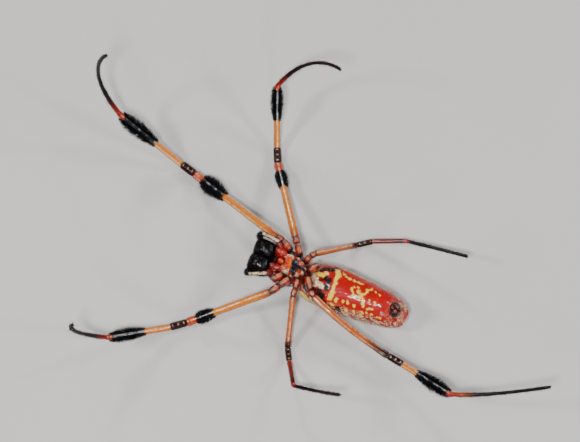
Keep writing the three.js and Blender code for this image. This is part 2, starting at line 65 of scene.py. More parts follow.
def heading(turn, rise):  # unit vector from a heading from +X towards +Y and a rise, in degrees
    t, r = np.radians(turn), np.radians(rise)
    return np.array([np.cos(t) * np.cos(r), np.sin(t) * np.cos(r), np.sin(r)])


def around(columns):  # the angles of columns spread evenly round a body
    return np.arange(columns) / columns * fullTurn


def ringShares(end, rows):  # shares of a length for rings, closer together at its two ends
    return 0.5 - 0.5 * np.cos(np.pi * np.linspace(end, 1 - end, rows))[:, None]


def withPoles(values, first=0, last=0):  # values on a grid, then those at the poles that close it
    return np.append(values.ravel(), [first, last])


# Smooth noise of about -1 to 1: a sum of sines of seeded directions and wavelengths near the size.
def ripple(points, size, seed):
    draw = np.random.default_rng(seed)
    ways = unit(draw.normal(size=(9, 3))) * draw.uniform(0.6, 1.7, (9, 1))
    waves = np.sin(points @ ways.T * (fullTurn / size) + draw.uniform(0, fullTurn, 9))
    return waves.sum(-1) / 3.2


# Eases an array along its first axis with a bell of the given spread, in steps.
def eased(values, spread):
    reach = int(4 * spread) + 1
    bell = hill(np.arange(-reach, reach + 1), 0, max(spread, 0.01) * 1.414)
    bell /= bell.sum()
    flat = values.reshape(len(values), -1)
    long = np.concatenate([2 * flat[:1] - flat[reach:0:-1], flat, 2 * flat[-1:] - flat[-2:-reach - 2:-1]])
    smooth = np.stack([np.convolve(column, bell, "valid") for column in long.T], -1)
    return smooth.reshape(values.shape)


# Meshes

# Faces of a grid of rows along a body and columns round it, with a fan to one point at each end.
def gridFaces(rows, columns):
    here = np.arange(columns)
    after = (here + 1) % columns
    start = np.arange(rows - 1)[:, None] * columns
    quads = np.stack([start + here, start + after, start + after + columns, start + here + columns], -1)
    last = (rows - 1) * columns
    low = np.stack([np.full(columns, rows * columns), after, here], -1)
    high = np.stack([np.full(columns, rows * columns + 1), last + here, last + after], -1)
    return [quads.reshape(-1, 4), np.concatenate([low, high])]


# The closed shell of a grid of points, turned so that its faces look out.
def shellOf(grid):
    rows, columns = grid.shape[:2]
    points = np.concatenate([grid.reshape(-1, 3), grid[:1].mean(1), grid[-1:].mean(1)])
    return points, facedOut(points, gridFaces(rows, columns))


# Faces as they are, or turned over when the volume they enclose, the sum of a . (b x c), comes out negative.
def facedOut(points, faceSets):
    centred = points - points.mean(0)
    volume = 0
    for faces in faceSets:
        for k in range(1, faces.shape[1] - 1):
            a, b, c = (centred[faces[:, i]] for i in (0, k, k + 1))
            volume += np.einsum("ij,ij->", a, np.cross(b, c))
    return [faces[:, ::-1] for faces in faceSets] if volume < 0 else faceSets


def joined(shells):  # several closed shells as one
    points, faceSets, count = [], [[], []], 0
    for shellPoints, shellFaces in shells:
        points.append(shellPoints)
        for kind, faces in zip(faceSets, shellFaces):
            kind.append(faces + count)
        count += len(shellPoints)
    return np.concatenate(points), [np.concatenate(kind) for kind in faceSets]


# A visible piece from points and faces. Marks are one number per point, and uv is one place per point.
def makePiece(name, points, faceSets, finish, slotName, stoodFor=(), marks=None, uv=None):
    points = points.copy()
    points[:, 2] = np.maximum(points[:, 2], 0)  # the floor flattens what rests on it
    loops = np.concatenate([faces.ravel() for faces in faceSets]).astype(np.int32)
    sizes = np.concatenate([np.full(len(faces), faces.shape[1]) for faces in faceSets])
    starts = np.concatenate([[0], np.cumsum(sizes)[:-1]]).astype(np.int32)
    mesh = bpy.data.meshes.new(name)
    mesh.vertices.add(len(points))
    mesh.vertices.foreach_set("co", (points * mm).astype(np.float32).ravel())
    mesh.loops.add(len(loops))
    mesh.loops.foreach_set("vertex_index", loops)
    mesh.polygons.add(len(sizes))
    mesh.polygons.foreach_set("loop_start", starts)
    mesh.polygons.foreach_set("use_smooth", np.ones(len(sizes), bool))
    for key, values in (marks or {}).items():
        attribute = mesh.attributes.new(key, "FLOAT", "POINT")
        attribute.data.foreach_set("value", values.astype(np.float32).ravel())
    if uv is not None:
        layer = mesh.uv_layers.new(name="OFBake")
        layer.data.foreach_set("uv", uv[loops].astype(np.float32).ravel())
    mesh.update(calc_edges=True)
    mesh.materials.append(finish)
    piece = bpy.data.objects.new(name, mesh)
    bpy.context.scene.collection.objects.link(piece)
    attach(piece, "root")
    if len(stoodFor):
        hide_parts(*stoodFor)
    return piece


# Rings round a path: each point is the centre plus the radius times the cosine of its angle along up, where
# the ring may be taller, and times the sine along the side. The side stays square to a fixed reference.
def tubeGrid(path, radius, reference, columns, tall=1.0):
    tangent = unit(np.gradient(path, axis=0))
    side = unit(reference - (tangent @ reference)[:, None] * tangent)
    up = np.cross(tangent, side)
    angle = around(columns)
    radius = np.broadcast_to(radius, len(path))
    high = (radius * tall)[:, None, None] * np.cos(angle)[None, :, None] * up[:, None]
    wide = radius[:, None, None] * np.sin(angle)[None, :, None] * side[:, None]
    return path[:, None] + high + wide


bristleShape = {
    "rooted": 0.06,  # millimetres under the skin
    "thinning": 0.6,  # power of the share of the length that is left
    "uvPatch": 0.003,
    "hairRings": (0, 0.6),  # shares of the length where the rings stand
    "tuftRings": (0, 0.45, 0.8),
    "hairBend": 0.4,
}


# Bristles as three-sided blades. A blade starts under the skin at its root, stands out at its own slant,
# bends over along the lie and ends in a point: root + length * (out * sin(slant) * u * (1 - bend * u / 2)
# + lie * cos(slant) * u * (1 + bend * u / 2)).
def bristles(name, roots, outs, lies, lengths, girths, slants, bend, rings, finish, slotName, marks, rootUv):
    count = len(roots)
    share = np.array(rings)[None, :, None]
    long = lengths[:, None, None]
    rise = outs[:, None] * np.sin(slants)[:, None, None]
    run = lies[:, None] * np.cos(slants)[:, None, None]

    def spine(u):
        return roots[:, None] + long * (rise * u * (1 - bend * u / 2) + run * u * (1 + bend * u / 2))

    centres = spine(share)
    centres[:, 0] -= outs * bristleShape["rooted"]
    tips = spine(np.ones((1, 1, 1)))
    across = unit(np.cross(outs, lies))[:, None]
    along = unit(spine(share + 0.02) - spine(share))
    face = np.cross(along, across)
    thick = girths[:, None, None] * (1 - share) ** bristleShape["thinning"]
    turns = np.array([0.0, 1.0, 2.0]) / 3 * fullTurn
    blades = [centres + thick * (np.cos(t) * across + np.sin(t) * face) for t in turns]
    body = np.stack(blades, 2).reshape(count, -1, 3)
    points = np.concatenate([body, tips], 1)
    each = points.shape[1]
    sides = np.arange(3)
    after = (sides + 1) % 3
    pattern = []
    for ring in range(len(rings) - 1):
        a, b = ring * 3 + sides, ring * 3 + after
        pattern += [np.stack([a, b, b + 3], -1), np.stack([a, b + 3, a + 3], -1)]
    last = (len(rings) - 1) * 3
    pattern.append(np.stack([last + sides, last + after, np.full(3, each - 1)], -1))
    pattern.append(np.array([[2, 1, 0]]))
    faces = (np.concatenate(pattern)[None] + (np.arange(count) * each)[:, None, None]).reshape(-1, 3)
    local = np.concatenate([np.repeat(share.ravel(), 3), [1.0]])
    spread = np.concatenate([np.tile(sides / 3, len(rings)), [0.5]])
    uv = rootUv[:, None] + bristleShape["uvPatch"] * np.stack([spread, local], -1)[None]
    flat = points.reshape(-1, 3)
    spreadMarks = {key: np.repeat(values, each) for key, values in marks.items()}
    faceSets = facedOut(flat, [faces])
    return makePiece(name, flat, faceSets, finish, slotName, (), spreadMarks, uv.reshape(-1, 2))


# Finishes: every one is worked out on Object coordinates or on a piece's own marks

colours = {
    "seam": (0.030, 0.005, 0.004),
    "wine": (0.026, 0.003, 0.003),
    "russet": (0.200, 0.018, 0.008),
    "hip": (0.200, 0.008, 0.006),
    "rust": (0.420, 0.070, 0.012),
    "deepAmber": (0.600, 0.108, 0.001),
    "amber": (0.800, 0.220, 0.001),
    "coral": (0.600, 0.050, 0.008),
    "scarlet": (0.420, 0.006, 0.003),
    "black": (0.0025, 0.002, 0.003),
    "ink": (0.004, 0.008, 0.014),
    "bellyRed": (0.520, 0.001, 0.001),
    "deepRed": (0.180, 0.001, 0.001),
    "yellow": (1.000, 0.690, 0.070),
    # cream is also the colour of painted highlights; gleam is only the colour of painted glints
    "cream": (1.000, 0.900, 0.560),
    "gleam": (0.780, 0.800, 0.860),
    "silver": (0.620, 0.580, 0.500),
}


def addNode(tree, kind, sockets=None, **settings):  # sockets are linked or given a value
    made = tree.nodes.new(kind)
    for key, value in settings.items():
        setattr(made, key, value)
    for key, value in (sockets or {}).items():
        if isinstance(value, bpy.types.NodeSocket):
            tree.links.new(value, made.inputs[key])
        else:
            made.inputs[key].default_value = value
    return made


def colour(name):
    return (*colours[name], 1.0)


def grain(tree, size, detail=3.0, roughness=0.55):  # noise with features of a size in millimetres
    place = addNode(tree, "ShaderNodeTexCoord").outputs["Object"]
    sockets = {"Vector": place, "Scale": 1 / (size * mm), "Detail": detail, "Roughness": roughness}
    return addNode(tree, "ShaderNodeTexNoise", sockets).outputs["Fac"]


def mark(tree, name):  # a piece's own number at each point
    return addNode(tree, "ShaderNodeAttribute", attribute_name=name).outputs["Fac"]


def blend(tree, factor, first, second, kind="MIX"):
    sockets = {"Fac": factor, "Color1": first, "Color2": second}
    return addNode(tree, "ShaderNodeMixRGB", sockets, blend_type=kind).outputs["Color"]


def ranged(tree, value, low, high, toLow=0.0, toHigh=1.0):  # low to high becomes toLow to toHigh
    sockets = {"Value": value, "From Min": low, "From Max": high, "To Min": toLow, "To Max": toHigh}
    return addNode(tree, "ShaderNodeMapRange", sockets).outputs["Result"]


def maths(tree, operation, first, second):
    return addNode(tree, "ShaderNodeMath", {0: first, 1: second}, operation=operation).outputs[0]


def newFinish(name, **values):
    finish = bpy.data.materials.new(name)
    finish.use_nodes = True
    shader = finish.node_tree.nodes["Principled BSDF"]
    for key, value in values.items():
        shader.inputs[key.replace("_", " ")].default_value = value
    return finish, finish.node_tree, shader


def addBump(tree, shader, height, depth, strength=1.0):  # depth in millimetres
    bump = addNode(tree, "ShaderNodeBump", {"Height": height, "Distance": depth * mm, "Strength": strength})
    tree.links.new(bump.outputs["Normal"], shader.inputs["Normal"])


# Two colours in clouds of a size in millimetres, the second where the noise is past a range.
def clouds(tree, size, detail, low, high, first, second):
    return blend(tree, ranged(tree, grain(tree, size, detail), low, high), colour(first), colour(second))


def laidOver(tree, base, name, factor, share=1.0):  # a named colour over what is there, by factor times share
    return blend(tree, maths(tree, "MULTIPLY", factor, share), base, colour(name))


# Gives a shader its colour and a grained relief, with the size of its grains and its depth in millimetres.
def paint(tree, shader, base, size, depth, strength=1.0, detail=3.0):
    tree.links.new(base, shader.inputs["Base Color"])
    addBump(tree, shader, grain(tree, size, detail), depth, strength)


# Legs

legShape = {
    "rootZ": 6.2,
    "coxaPitch": -8,
    "patellaPitch": 6.5,
    "coxaTall": 1.6,
    "sunk": 0.04,
    "columns": 26,
    "bendSpread": 0.22,  # how far each bend is eased along the leg
    "uneven": 0.012,
    "girths": {
        1: {
            "coxa": 0.6, "femur": 0.64, "knee": 0.76, "patella": 0.67, "tibia": 0.59, "metatarsus": 0.4,
            "tarsus": 0.26,
        },
        2: {
            "coxa": 0.58, "femur": 0.63, "knee": 0.72, "patella": 0.63, "tibia": 0.57, "metatarsus": 0.37,
            "tarsus": 0.25,
        },
        3: {
            "coxa": 0.5, "femur": 0.49, "knee": 0.53, "patella": 0.48, "tibia": 0.42, "metatarsus": 0.29,
            "tarsus": 0.25,
        },
        4: {
            "coxa": 0.52, "femur": 0.55, "knee": 0.63, "patella": 0.58, "tibia": 0.54, "metatarsus": 0.37,
            "tarsus": 0.25,
        },
    },
    # Root (x, y), then length and heading of each part, with a pitch where it rises. A foot has a length and
    # the heading and pitch at its two ends, a tuft its two ends as shares of its part, and its reach.
    "legs": {
        "left_1": {
            "pair": 1, "root": (-2.5, -11.65), "coxa": (2.17, -121), "trochanter": (1.04, -104.4),
            "femur": (18.9, -109), "patella": (2.66, -103.3), "tibia": (13.2, -100.5, 30.5),
            "foot": (18.5, (-111, 38), (99, 62)),
            "femurTuft": (0.635, 0.882, 0.74), "tibiaTuft": (0.45, 0.97, 0.68),
        },
        "left_2": {
            "pair": 2, "root": (-2.31, -9.96), "coxa": (2.13, -145.3), "trochanter": (1.07, -140.8),
            "femur": (15.1, -145.7), "patella": (2.68, -155), "tibia": (10.8, -157.7, 41.2),
            "foot": (16, (156, 41), (65, 34)),
            "femurTuft": (0.67, 0.87, 0.36), "tibiaTuft": (0.47, 0.97, 0.46),
        },
        "left_3": {
            "pair": 3, "root": (-1.6, -8.86), "coxa": (1.37, 165.5), "trochanter": (0.95, 142.5),
            "femur": (9.1, 134.8), "patella": (2.7, 124.3), "tibia": (5.7, 107.4, 21.9),
            "foot": (10.8, (95, 12), (91, 23)),
        },
        "right_2": {
            "pair": 2, "root": (1.74, -10.07), "coxa": (2.06, -34.1), "trochanter": (1.73, -33.2),
            "femur": (14.9, -51.5), "patella": (2.8, -50.3), "tibia": (10.8, -51.4, 25),
            "foot": (16, (-63, 39), (99, 74)),
            "femurTuft": (0.67, 0.87, 0.42), "tibiaTuft": (0.44, 0.97, 0.48),
        },
        "right_3": {
            "pair": 3, "root": (1.35, -8.9), "coxa": (1.65, 7.1), "trochanter": (1.16, 6.3),
            "femur": (9.05, 15.7), "patella": (2.3, 29), "tibia": (5.6, 30.9, 33.7),
            "foot": (10.8, (91, 31), (90, 56)),
        },
        "right_4": {
            "pair": 4, "root": (0.35, -7.78), "coxa": (2.43, 35.4), "trochanter": (0.96, 53.2),
            "femur": (15.3, 74.8), "bow": -0.45, "kneeZ": 3.4, "patella": (2.7, 80.3),
            "tibia": (9.6, 75, 20.8), "foot": (16.8, (96.4, 28.8), (117.5, 21.7), 0.4),
            "tibiaTuft": (0.33, 0.97, 0.56),
        },
    },
    "stumps": {
        "left_4": {"pair": 4, "root": (-0.35, -7.72), "coxa": (2.07, 155)},
        "right_1": {"pair": 1, "root": (1.55, -11.3), "coxa": (2.05, -43.2)},
    },
}

# Where the parts of a leg begin on the scale from 0 to 6 that runs along it
partStarts = {"coxa": 0, "trochanter": 1, "femur": 2, "patella": 3, "tibia": 4, "foot": 5}
kneeBeads = {"from": 3.2, "to": 3.86, "spacing": 0.165, "swell": 0.035}


# Radius along a leg as pairs of place and radius, with a dip at each joint and low rings on the patella.
def legProfile(leg):
    # girths of coxa, femur, knee, patella, tibia, metatarsus and tarsus
    c, f, k, p, t, m, s = legShape["girths"][leg["pair"]].values()
    pairs = [(0, c * 0.72), (0.08, c * 0.98), (0.45, c * 1.1), (0.8, c * 1.04), (0.93, c * 0.92)]
    if "femur" not in leg:
        return np.array(pairs + [(1, c * 0.5)])
    pairs += [(1, c * 0.78), (1.12, c * 0.95), (1.4, c * 1.12), (1.75, c * 1.08), (1.93, c * 0.98)]
    pairs += [(2, f * 0.72), (2.012, f * 0.98), (2.1, f * 1.06), (2.35, f), (2.62, f * 0.95), (2.82, f)]
    pairs += [(2.91, f * 1.05)]
    pairs += [(2.95, k * 0.98), (2.975, k), (2.992, k * 0.93), (3, p * 0.76), (3.05, p * 0.94), (3.15, p)]
    beads = np.linspace(kneeBeads["from"], kneeBeads["to"], 34)
    waves = np.cos((beads - kneeBeads["from"]) / kneeBeads["spacing"] * fullTurn)
    pairs += [(a, p * (1.0 + kneeBeads["swell"] * wave)) for a, wave in zip(beads, waves)]
    pairs += [(3.9, p * 0.96), (3.97, p * 0.9), (4, t * 0.74), (4.015, t * 0.98), (4.15, t * 0.97)]
    pairs += [(4.5, t * 0.92), (4.93, t * 0.93), (4.975, t * 0.95), (4.993, t * 0.88)]
    pairs += [(5, m * 0.95), (5.008, m * 1.28), (5.025, m * 1.2), (5.05, m)]
    share = np.linspace(0.08, 0.97, 24)
    taper = m + (s - m) * fade(0, 0.6, share)
    taper *= 1 + 0.1 * hill(share, 0.655, 0.012) - 0.12 * hill(share, 0.675, 0.008)
    pairs += [(5 + a, b) for a, b in zip(share, taper)]
    pairs += [(5.985, s * 0.8), (6, s * 0.4)]
    return np.array(pairs)


# The centre line of a leg in small steps with its place from 0 to 6. Each part is straight, or bowed by a
# sine, and the foot turns evenly between two directions. Then all its bends are eased.
def legPath(leg):
    step = 0.05
    girth = legShape["girths"][leg["pair"]]
    points, places = [np.array([[*leg["root"], legShape["rootZ"]]])], [np.zeros(1)]

    def goOn(part, way, length, bow=0.0):
        count = int(length / step)
        share = np.arange(1, count + 1) / count
        sideways = unit(np.cross([0, 0, 1], way))
        curve = np.sin(np.pi * share)[:, None] * sideways * bow
        points.append(points[-1][-1] + share[:, None] * length * way + curve)
        places.append(partStarts[part] + share)

    goOn("coxa", heading(leg["coxa"][1], legShape["coxaPitch"]), leg["coxa"][0])
    if "femur" in leg:
        goOn("trochanter", heading(leg["trochanter"][1], legShape["coxaPitch"]), leg["trochanter"][0])
        drop = leg.get("kneeZ", girth["knee"] - legShape["sunk"]) - points[-1][-1, 2]
        pitch = np.degrees(np.arcsin(drop / leg["femur"][0]))
        goOn("femur", heading(leg["femur"][1], pitch), leg["femur"][0], leg.get("bow", 0))
        goOn("patella", heading(leg["patella"][1], legShape["patellaPitch"]), leg["patella"][0])
        goOn("tibia", heading(leg["tibia"][1], leg["tibia"][2]), leg["tibia"][0])
        length, first, last, *ease = leg["foot"]
        count = int(length / step)
        share = (np.arange(1, count + 1) - 0.5) / count
        a, b = heading(*first), heading(*last)
        whole = np.arccos(a @ b)
        turn = share ** (ease[0] if ease else 1) * whole
        ways = (np.sin(whole - turn)[:, None] * a + np.sin(turn)[:, None] * b) / np.sin(whole)
        points.append(points[-1][-1] + np.cumsum(ways, 0) * length / count)
        places.append(partStarts["foot"] + share + 0.5 / count)
    return eased(np.concatenate(points), legShape["bendSpread"] / step), np.concatenate(places)


# The centre line, radius and directions at chosen places of a leg. Out at angle 0 is the side that faces up.
def legStations(leg, at):
    path, places = legPath(leg)
    profile = legProfile(leg)
    radius = eased(np.interp(places, profile[:, 0], profile[:, 1]), 1.1)
    tangent = unit(np.gradient(path, axis=0))
    turn = np.radians(leg["femur" if "femur" in leg else "coxa"][1])
    reference = np.array([-np.sin(turn), np.cos(turn), 0])

    def pick(values):
        return np.stack([np.interp(at, places, column) for column in values.reshape(len(places), -1).T], -1)

    along = unit(pick(tangent))
    side = unit(reference - (along @ reference)[:, None] * along)
    tall = 1 + (legShape["coxaTall"] - 1) * (1 - fade(0.75, 1.15, at))
    return {
        "centre": pick(path), "along": along, "side": side, "up": np.cross(along, side),
        "radius": pick(radius)[:, 0], "tall": tall,
    }


def legSurface(stations, angle):  # points on the skin and the outward way there
    high = np.cos(angle)[:, None] * stations["up"] * stations["tall"][:, None]
    wide = np.sin(angle)[:, None] * stations["side"]
    points = stations["centre"] + stations["radius"][:, None] * (high + wide)
    outs = unit(np.cos(angle)[:, None] * stations["up"] / stations["tall"][:, None] + wide)
    return points, outs


def legPlaces(leg):  # places of the rings, closer together towards each joint
    counts = {"coxa": 18, "trochanter": 12, "femur": 54, "patella": 44, "tibia": 40, "foot": 70}
    chosen = []
    for part, start in partStarts.items():
        if part in leg:
            share = np.arange(counts[part]) / counts[part]
            chosen.append(start + (1 - np.cos(np.pi * share)) / 2)
    end = partStarts["foot"] + 1 if "femur" in leg else 1
    return np.append(np.concatenate(chosen), end - 0.0005)


legMarks = {
    # where painted highlights and glints run, as the cosine of the angle from the belly line, and half width
    "highlightStreak": {1: (0.68, 0.13), 2: (0.99, 0.018), 3: (0.988, 0.022), 4: (0.8, 0.08)},
    "hipHighlight": (0.955, 0.035),
    "beadHighlight": (0.99, 0.02),
    "glint": (0.99, 0.014),
}


# Marks of a leg's skin at each place along it and each cosine of the angle from the belly line: painted
# highlights, as pale streaks on its golden parts and hips and white spots on the patella's rings and the
# joints, and painted glints on its black parts.
def legMarksAt(leg, place, belly):
    golden = fade(0.035, 0.055, np.interp(place, *paintShare(leg, 1)))
    golden *= fade(1.95, 2.05, place) * fade(5.03, 4.97, place)
    if leg["pair"] == 3:
        golden *= 1 - 0.6 * fade(3.9, 4.1, place)
    # painted highlight streaks along the golden parts
    highlightStreak = hill(belly, *legMarks["highlightStreak"][leg["pair"]]) * golden
    # painted highlight streak along the top of the hips
    hip = fade(2.02, 1.9, place) * fade(0.06, 0.16, place) * fade(0.12, 0.2, np.abs(place - 1))
    highlightStreak = np.maximum(highlightStreak, 0.6 * hill(belly, *legMarks["hipHighlight"]) * hip)
    # painted highlights as white spots on the patella's rings and at the joints
    rings = fade(0.6, 1.0, np.cos((place - kneeBeads["from"]) / (2 * kneeBeads["spacing"]) * fullTurn))
    spots = rings * fade(3.1, 3.15, place) * fade(3.95, 3.9, place) + hill(place, 5.0, 0.018)
    if "femurTuft" in leg:
        spots = spots + hill(place, 2.935, 0.02)
    highlightStreak = np.maximum(highlightStreak, np.clip(spots, 0, 1) * hill(belly, *legMarks["beadHighlight"]))
    if leg["pair"] == 4:  # the painted highlight streak goes on over the dark end of the thigh
        thighEnd = fade(2.6, 2.78, place) * fade(2.98, 2.94, place)
        highlightStreak = np.maximum(highlightStreak, 0.8 * hill(belly, *legMarks["highlightStreak"][4]) * thighEnd)
    # painted glints along the black parts
    black = fade(0.02, 0.005, np.interp(place, *paintShare(leg, 0))) * fade(5, 4.9, place)
    glint = hill(belly, *legMarks["glint"]) * black
    return {"place": place, "belly": belly, "highlightStreak": highlightStreak, "glint": glint}


# The closed skin of a leg: rings along it, pushed in and out by a faint unevenness.
def makeLegSkin(name, leg):
    at = legPlaces(leg)
    stations = legStations(leg, at)
    columns = legShape["columns"]
    angle = around(columns)
    many = {key: np.repeat(values, columns, 0) for key, values in stations.items()}
    points, outs = legSurface(many, np.tile(angle, len(at)))
    points += outs * (legShape["uneven"] * ripple(points, 0.9, 3))[:, None]
    whole, faceSets = shellOf(points.reshape(len(at), columns, 3))
    signed = (angle + np.pi) % fullTurn - np.pi
    belly = withPoles(np.tile(np.cos(signed), len(at)))
    place = withPoles(np.repeat(at, columns), at[0], at[-1])
    if "femur" in leg:
        stoodFor = [f"leg_{name}_{part}" for part in ("coxa", "femur", "patella", "tibia", "foot")]
        title, slotName = f"leg_{name}_skin", "amber_cuticle"
    else:
        stoodFor, title, slotName = [f"stump_{name}_coxa"], f"stump_{name}_skin", "russet_cuticle"
    makePiece(title, whole, faceSets, legFinish(name, leg), slotName, stoodFor, legMarksAt(leg, place, belly))


# The colours along a leg, as pairs of place and colour name.
def legPaint(leg):
    stops = [(0, "seam"), (0.1, "hip"), (0.45, "coral"), (0.6, "hip"), (0.86, "hip")]
    if "femur" not in leg:
        return [*stops, (0.97, "seam")]
    stops += [(0.95, "seam"), (1.04, "seam"), (1.12, "hip"), (1.4, "coral"), (1.6, "hip"), (1.85, "hip")]
    stops += [(1.93, "seam"), (2.0, "seam"), (2.02, "rust")]
    thigh = "deepAmber" if leg["pair"] in (3, 4) else "amber"
    stops += [(2.07, "deepAmber"), (2.15, thigh)]
    if "femurTuft" in leg:
        begin, end, _ = leg["femurTuft"]
        stops += [(2 + begin - 0.01, thigh), (2 + begin + 0.01, "black"), (2 + end - 0.01, "black")]
        stops += [(2 + end + 0.012, "coral"), (2.975, "coral"), (2.99, "wine")]
    else:
        beforeKnee = "hip" if leg["pair"] == 4 else "rust"
        stops += [(2.68, thigh), (2.8, beforeKnee), (2.93, "seam"), (2.96, "wine")]
    stops += [(3.0, "seam"), (3.1, "wine"), (3.9, "wine"), (4.0, "seam")]
    if leg["pair"] == 3:
        stops += [(4.03, "coral"), (4.1, "hip"), (4.6, "russet"), (4.9, "wine"), (4.96, "scarlet")]
        stops += [(5.02, "scarlet"), (5.06, "wine"), (5.14, "black"), (6.0, "black")]
    else:
        begin = leg["tibiaTuft"][0]
        shank, fading = ("rust", 5.27) if leg["pair"] == 4 else ("hip", 5.2)
        stops += [(4.03, "amber"), (4 + begin - 0.01, "amber"), (4 + begin + 0.01, "black"), (4.955, "black")]
        stops += [(4.975, "coral"), (5.02, "scarlet"), (5.13, shank), (fading, "wine"), (5.33, "black")]
        stops += [(6.0, "black")]
    return stops


def paintShare(leg, channel):  # places along a leg and the share of red, green or blue of the paint there
    stops = legPaint(leg)
    return [place for place, _ in stops], [colours[name][channel] for _, name in stops]


# The paint at the place of each point, from one ramp up to the knee and one beyond it.
def paintRamp(tree, leg, softness):
    shift = ranged(tree, grain(tree, 0.5), 0.2, 0.8, -softness, softness)
    shifted = maths(tree, "ADD", mark(tree, "place"), shift)
    stops = legPaint(leg)
    halves = []
    for low in (0, 3):
        chosen = [(place - low, name) for place, name in stops if low <= place <= low + 3]
        share = maths(tree, "DIVIDE", maths(tree, "SUBTRACT", shifted, float(low)), 3.0)
        ramp = addNode(tree, "ShaderNodeValToRGB", {"Fac": share})
        elements = ramp.color_ramp.elements
        while len(elements) < len(chosen):
            elements.new(0.5)
        for element, (place, _) in zip(elements, chosen):
            element.position = place / 3
        for element, (_, name) in zip(elements, chosen):
            element.color = colour(name)
        halves.append(ramp.outputs["Color"])
    return blend(tree, maths(tree, "GREATER_THAN", shifted, 3.0), *halves)


# Cuticle of a leg: its colours along it, broken painted highlight streaks and painted glints, painted shade
# along its edges, and less polish on the patella and the foot.
def legFinish(name, leg):
    finish, tree, shader = newFinish(
        f"leg {name} cuticle", Roughness=0.3, Specular_IOR_Level=0.2, Subsurface_Weight=0.08,
        Subsurface_Scale=0.0004, Coat_Roughness=0.06,
    )
    base = paintRamp(tree, leg, 0.006)
    belly = mark(tree, "belly")
    # painted shade: the sides turned away from the belly line, which faces the lamps, darken to wine
    edge = ranged(tree, belly, 0.56, 0.02)
    base = laidOver(tree, base, "wine", edge, 0.85)
    # painted highlight streaks in cream, broken by noise
    highlightStreaks = ranged(tree, grain(tree, 0.5, 4), 0.35, 0.6)
    highlightStreaks = maths(tree, "MULTIPLY", mark(tree, "highlightStreak"), highlightStreaks)
    base = laidOver(tree, base, "cream", highlightStreaks, 0.95)
    # painted glints on the black parts, where the noise passes a threshold
    rare = 0.48 if leg["pair"] in (1, 4) else 0.38
    glints = ranged(tree, grain(tree, 0.9, 4), rare, rare + 0.12)
    base = laidOver(tree, base, "gleam", mark(tree, "glint"), glints)
    mottle = ranged(tree, grain(tree, 0.35, 4), 0.35, 0.75, 0.7, 1.1)
    paint(tree, shader, blend(tree, 1.0, base, mottle, "MULTIPLY"), 0.16, 0.012, 0.5)
    fromKnee = maths(tree, "ABSOLUTE", maths(tree, "SUBTRACT", mark(tree, "place"), 3.5), 0.0)
    kneePolish = ranged(tree, fromKnee, 0.42, 0.52, 0.2, 1.0)
    footPolish = ranged(tree, mark(tree, "place"), 5.0, 5.3, 0.8, 0.06)
    tree.links.new(maths(tree, "MULTIPLY", kneePolish, footPolish), shader.inputs["Coat Weight"])
    return finish


# Hair in its leg's own colours, a little lighter where the leg is pale, and uneven from hair to hair.
def hairFinish(name, leg):
    finish, tree, shader = newFinish(f"leg {name} hair", Roughness=0.6, Specular_IOR_Level=0.06)
    light = maths(tree, "MULTIPLY", mark(tree, "light"), 0.04)
    base = blend(tree, light, paintRamp(tree, leg, 0.004), colour("cream"), "SCREEN")
    dark = ranged(tree, mark(tree, "shade"), 0, 1, 0.25, 1.0)
    tree.links.new(blend(tree, 1.0, base, dark, "MULTIPLY"), shader.inputs["Base Color"])
    return finish


def tuftFinish():
    finish, tree, shader = newFinish("tuft bristle", Roughness=0.5, Specular_IOR_Level=0.12)
    paint(tree, shader, laidOver(tree, colour("black"), "ink", mark(tree, "shade")), 0.05, 0.005)
    return finish


tuftShape = {
    "density": 115,  # bristles on a square millimetre
    "bare": 20,  # degrees either side of the belly line that stay bare
    "girth": 0.025,
    "length": 2.1,  # of the longest bristles over the tuft's reach
    "slant": 62,  # degrees between a bristle's root and the leg
    "bend": 0.4,
    "ends": 0.62,  # how much shorter the bristles are at the two ends
    "lock": 0.4,  # size of the locks that the bristles gather in
    "stray": 0.16,  # how far the locks turn round the leg
}


# A dense tuft round a leg between two shares of one part, longest in its middle.
def makeTuft(name, leg, part, finish):
    begin, end, reach = leg[part + "Tuft"]
    shape = tuftShape
    draw = np.random.default_rng(400 + partStarts[part] + 10 * list(legShape["legs"]).index(name))
    length = (end - begin) * leg[part][0]
    girth = legShape["girths"][leg["pair"]][part]
    count = int(length * girth * fullTurn * shape["density"])
    share = np.clip(0.5 + 0.56 * draw.uniform(-1, 1, count) + draw.normal(0, 0.02, count), -0.05, 1.02)
    bare = shape["bare"] / 360
    angle = fullTurn * draw.uniform(bare, 1 - bare, count)
    place = partStarts[part] + begin + (end - begin) * share
    stations = legStations(leg, place)
    roots, outs = legSurface(stations, angle)
    frayed = draw.uniform(0.6, 1.15, count) + 0.1 * ripple(roots, shape["lock"], 8)
    taper = 1 - shape["ends"] * np.abs(2 * share - 1) ** 2.0
    lengths = shape["length"] * reach * frayed * taper
    slants = np.radians(shape["slant"] + draw.normal(0, 7, count) + 5 * ripple(roots, shape["lock"], 9))
    stray = shape["stray"] * ripple(roots, shape["lock"], 10)
    sideways = np.cross(stations["along"], outs) * stray[:, None]
    lies = unit(stations["along"] + sideways + 0.12 * draw.normal(size=(count, 3)))
    girths = shape["girth"] * draw.uniform(0.75, 1.2, count)
    uv = 0.99 * np.stack([place / 6, angle / fullTurn], -1)
    marks = {"shade": draw.uniform(0, 1, count)}
    bristles(
        f"tuft_{name}_{part}", roots, outs, lies, lengths, girths, slants, shape["bend"],
        bristleShape["tuftRings"], finish, "tufted_cuticle", marks, uv,
    )


legHair = {
    "perMillimetre": 34, "length": 0.34, "girth": 0.013, "slant": 30,
    "footShare": 0.6, "footGirth": 1.7,
    "uprightShare": 0.07, "uprightSlant": 58, "uprightLength": 1.7, "uprightGirth": 1.35,
}


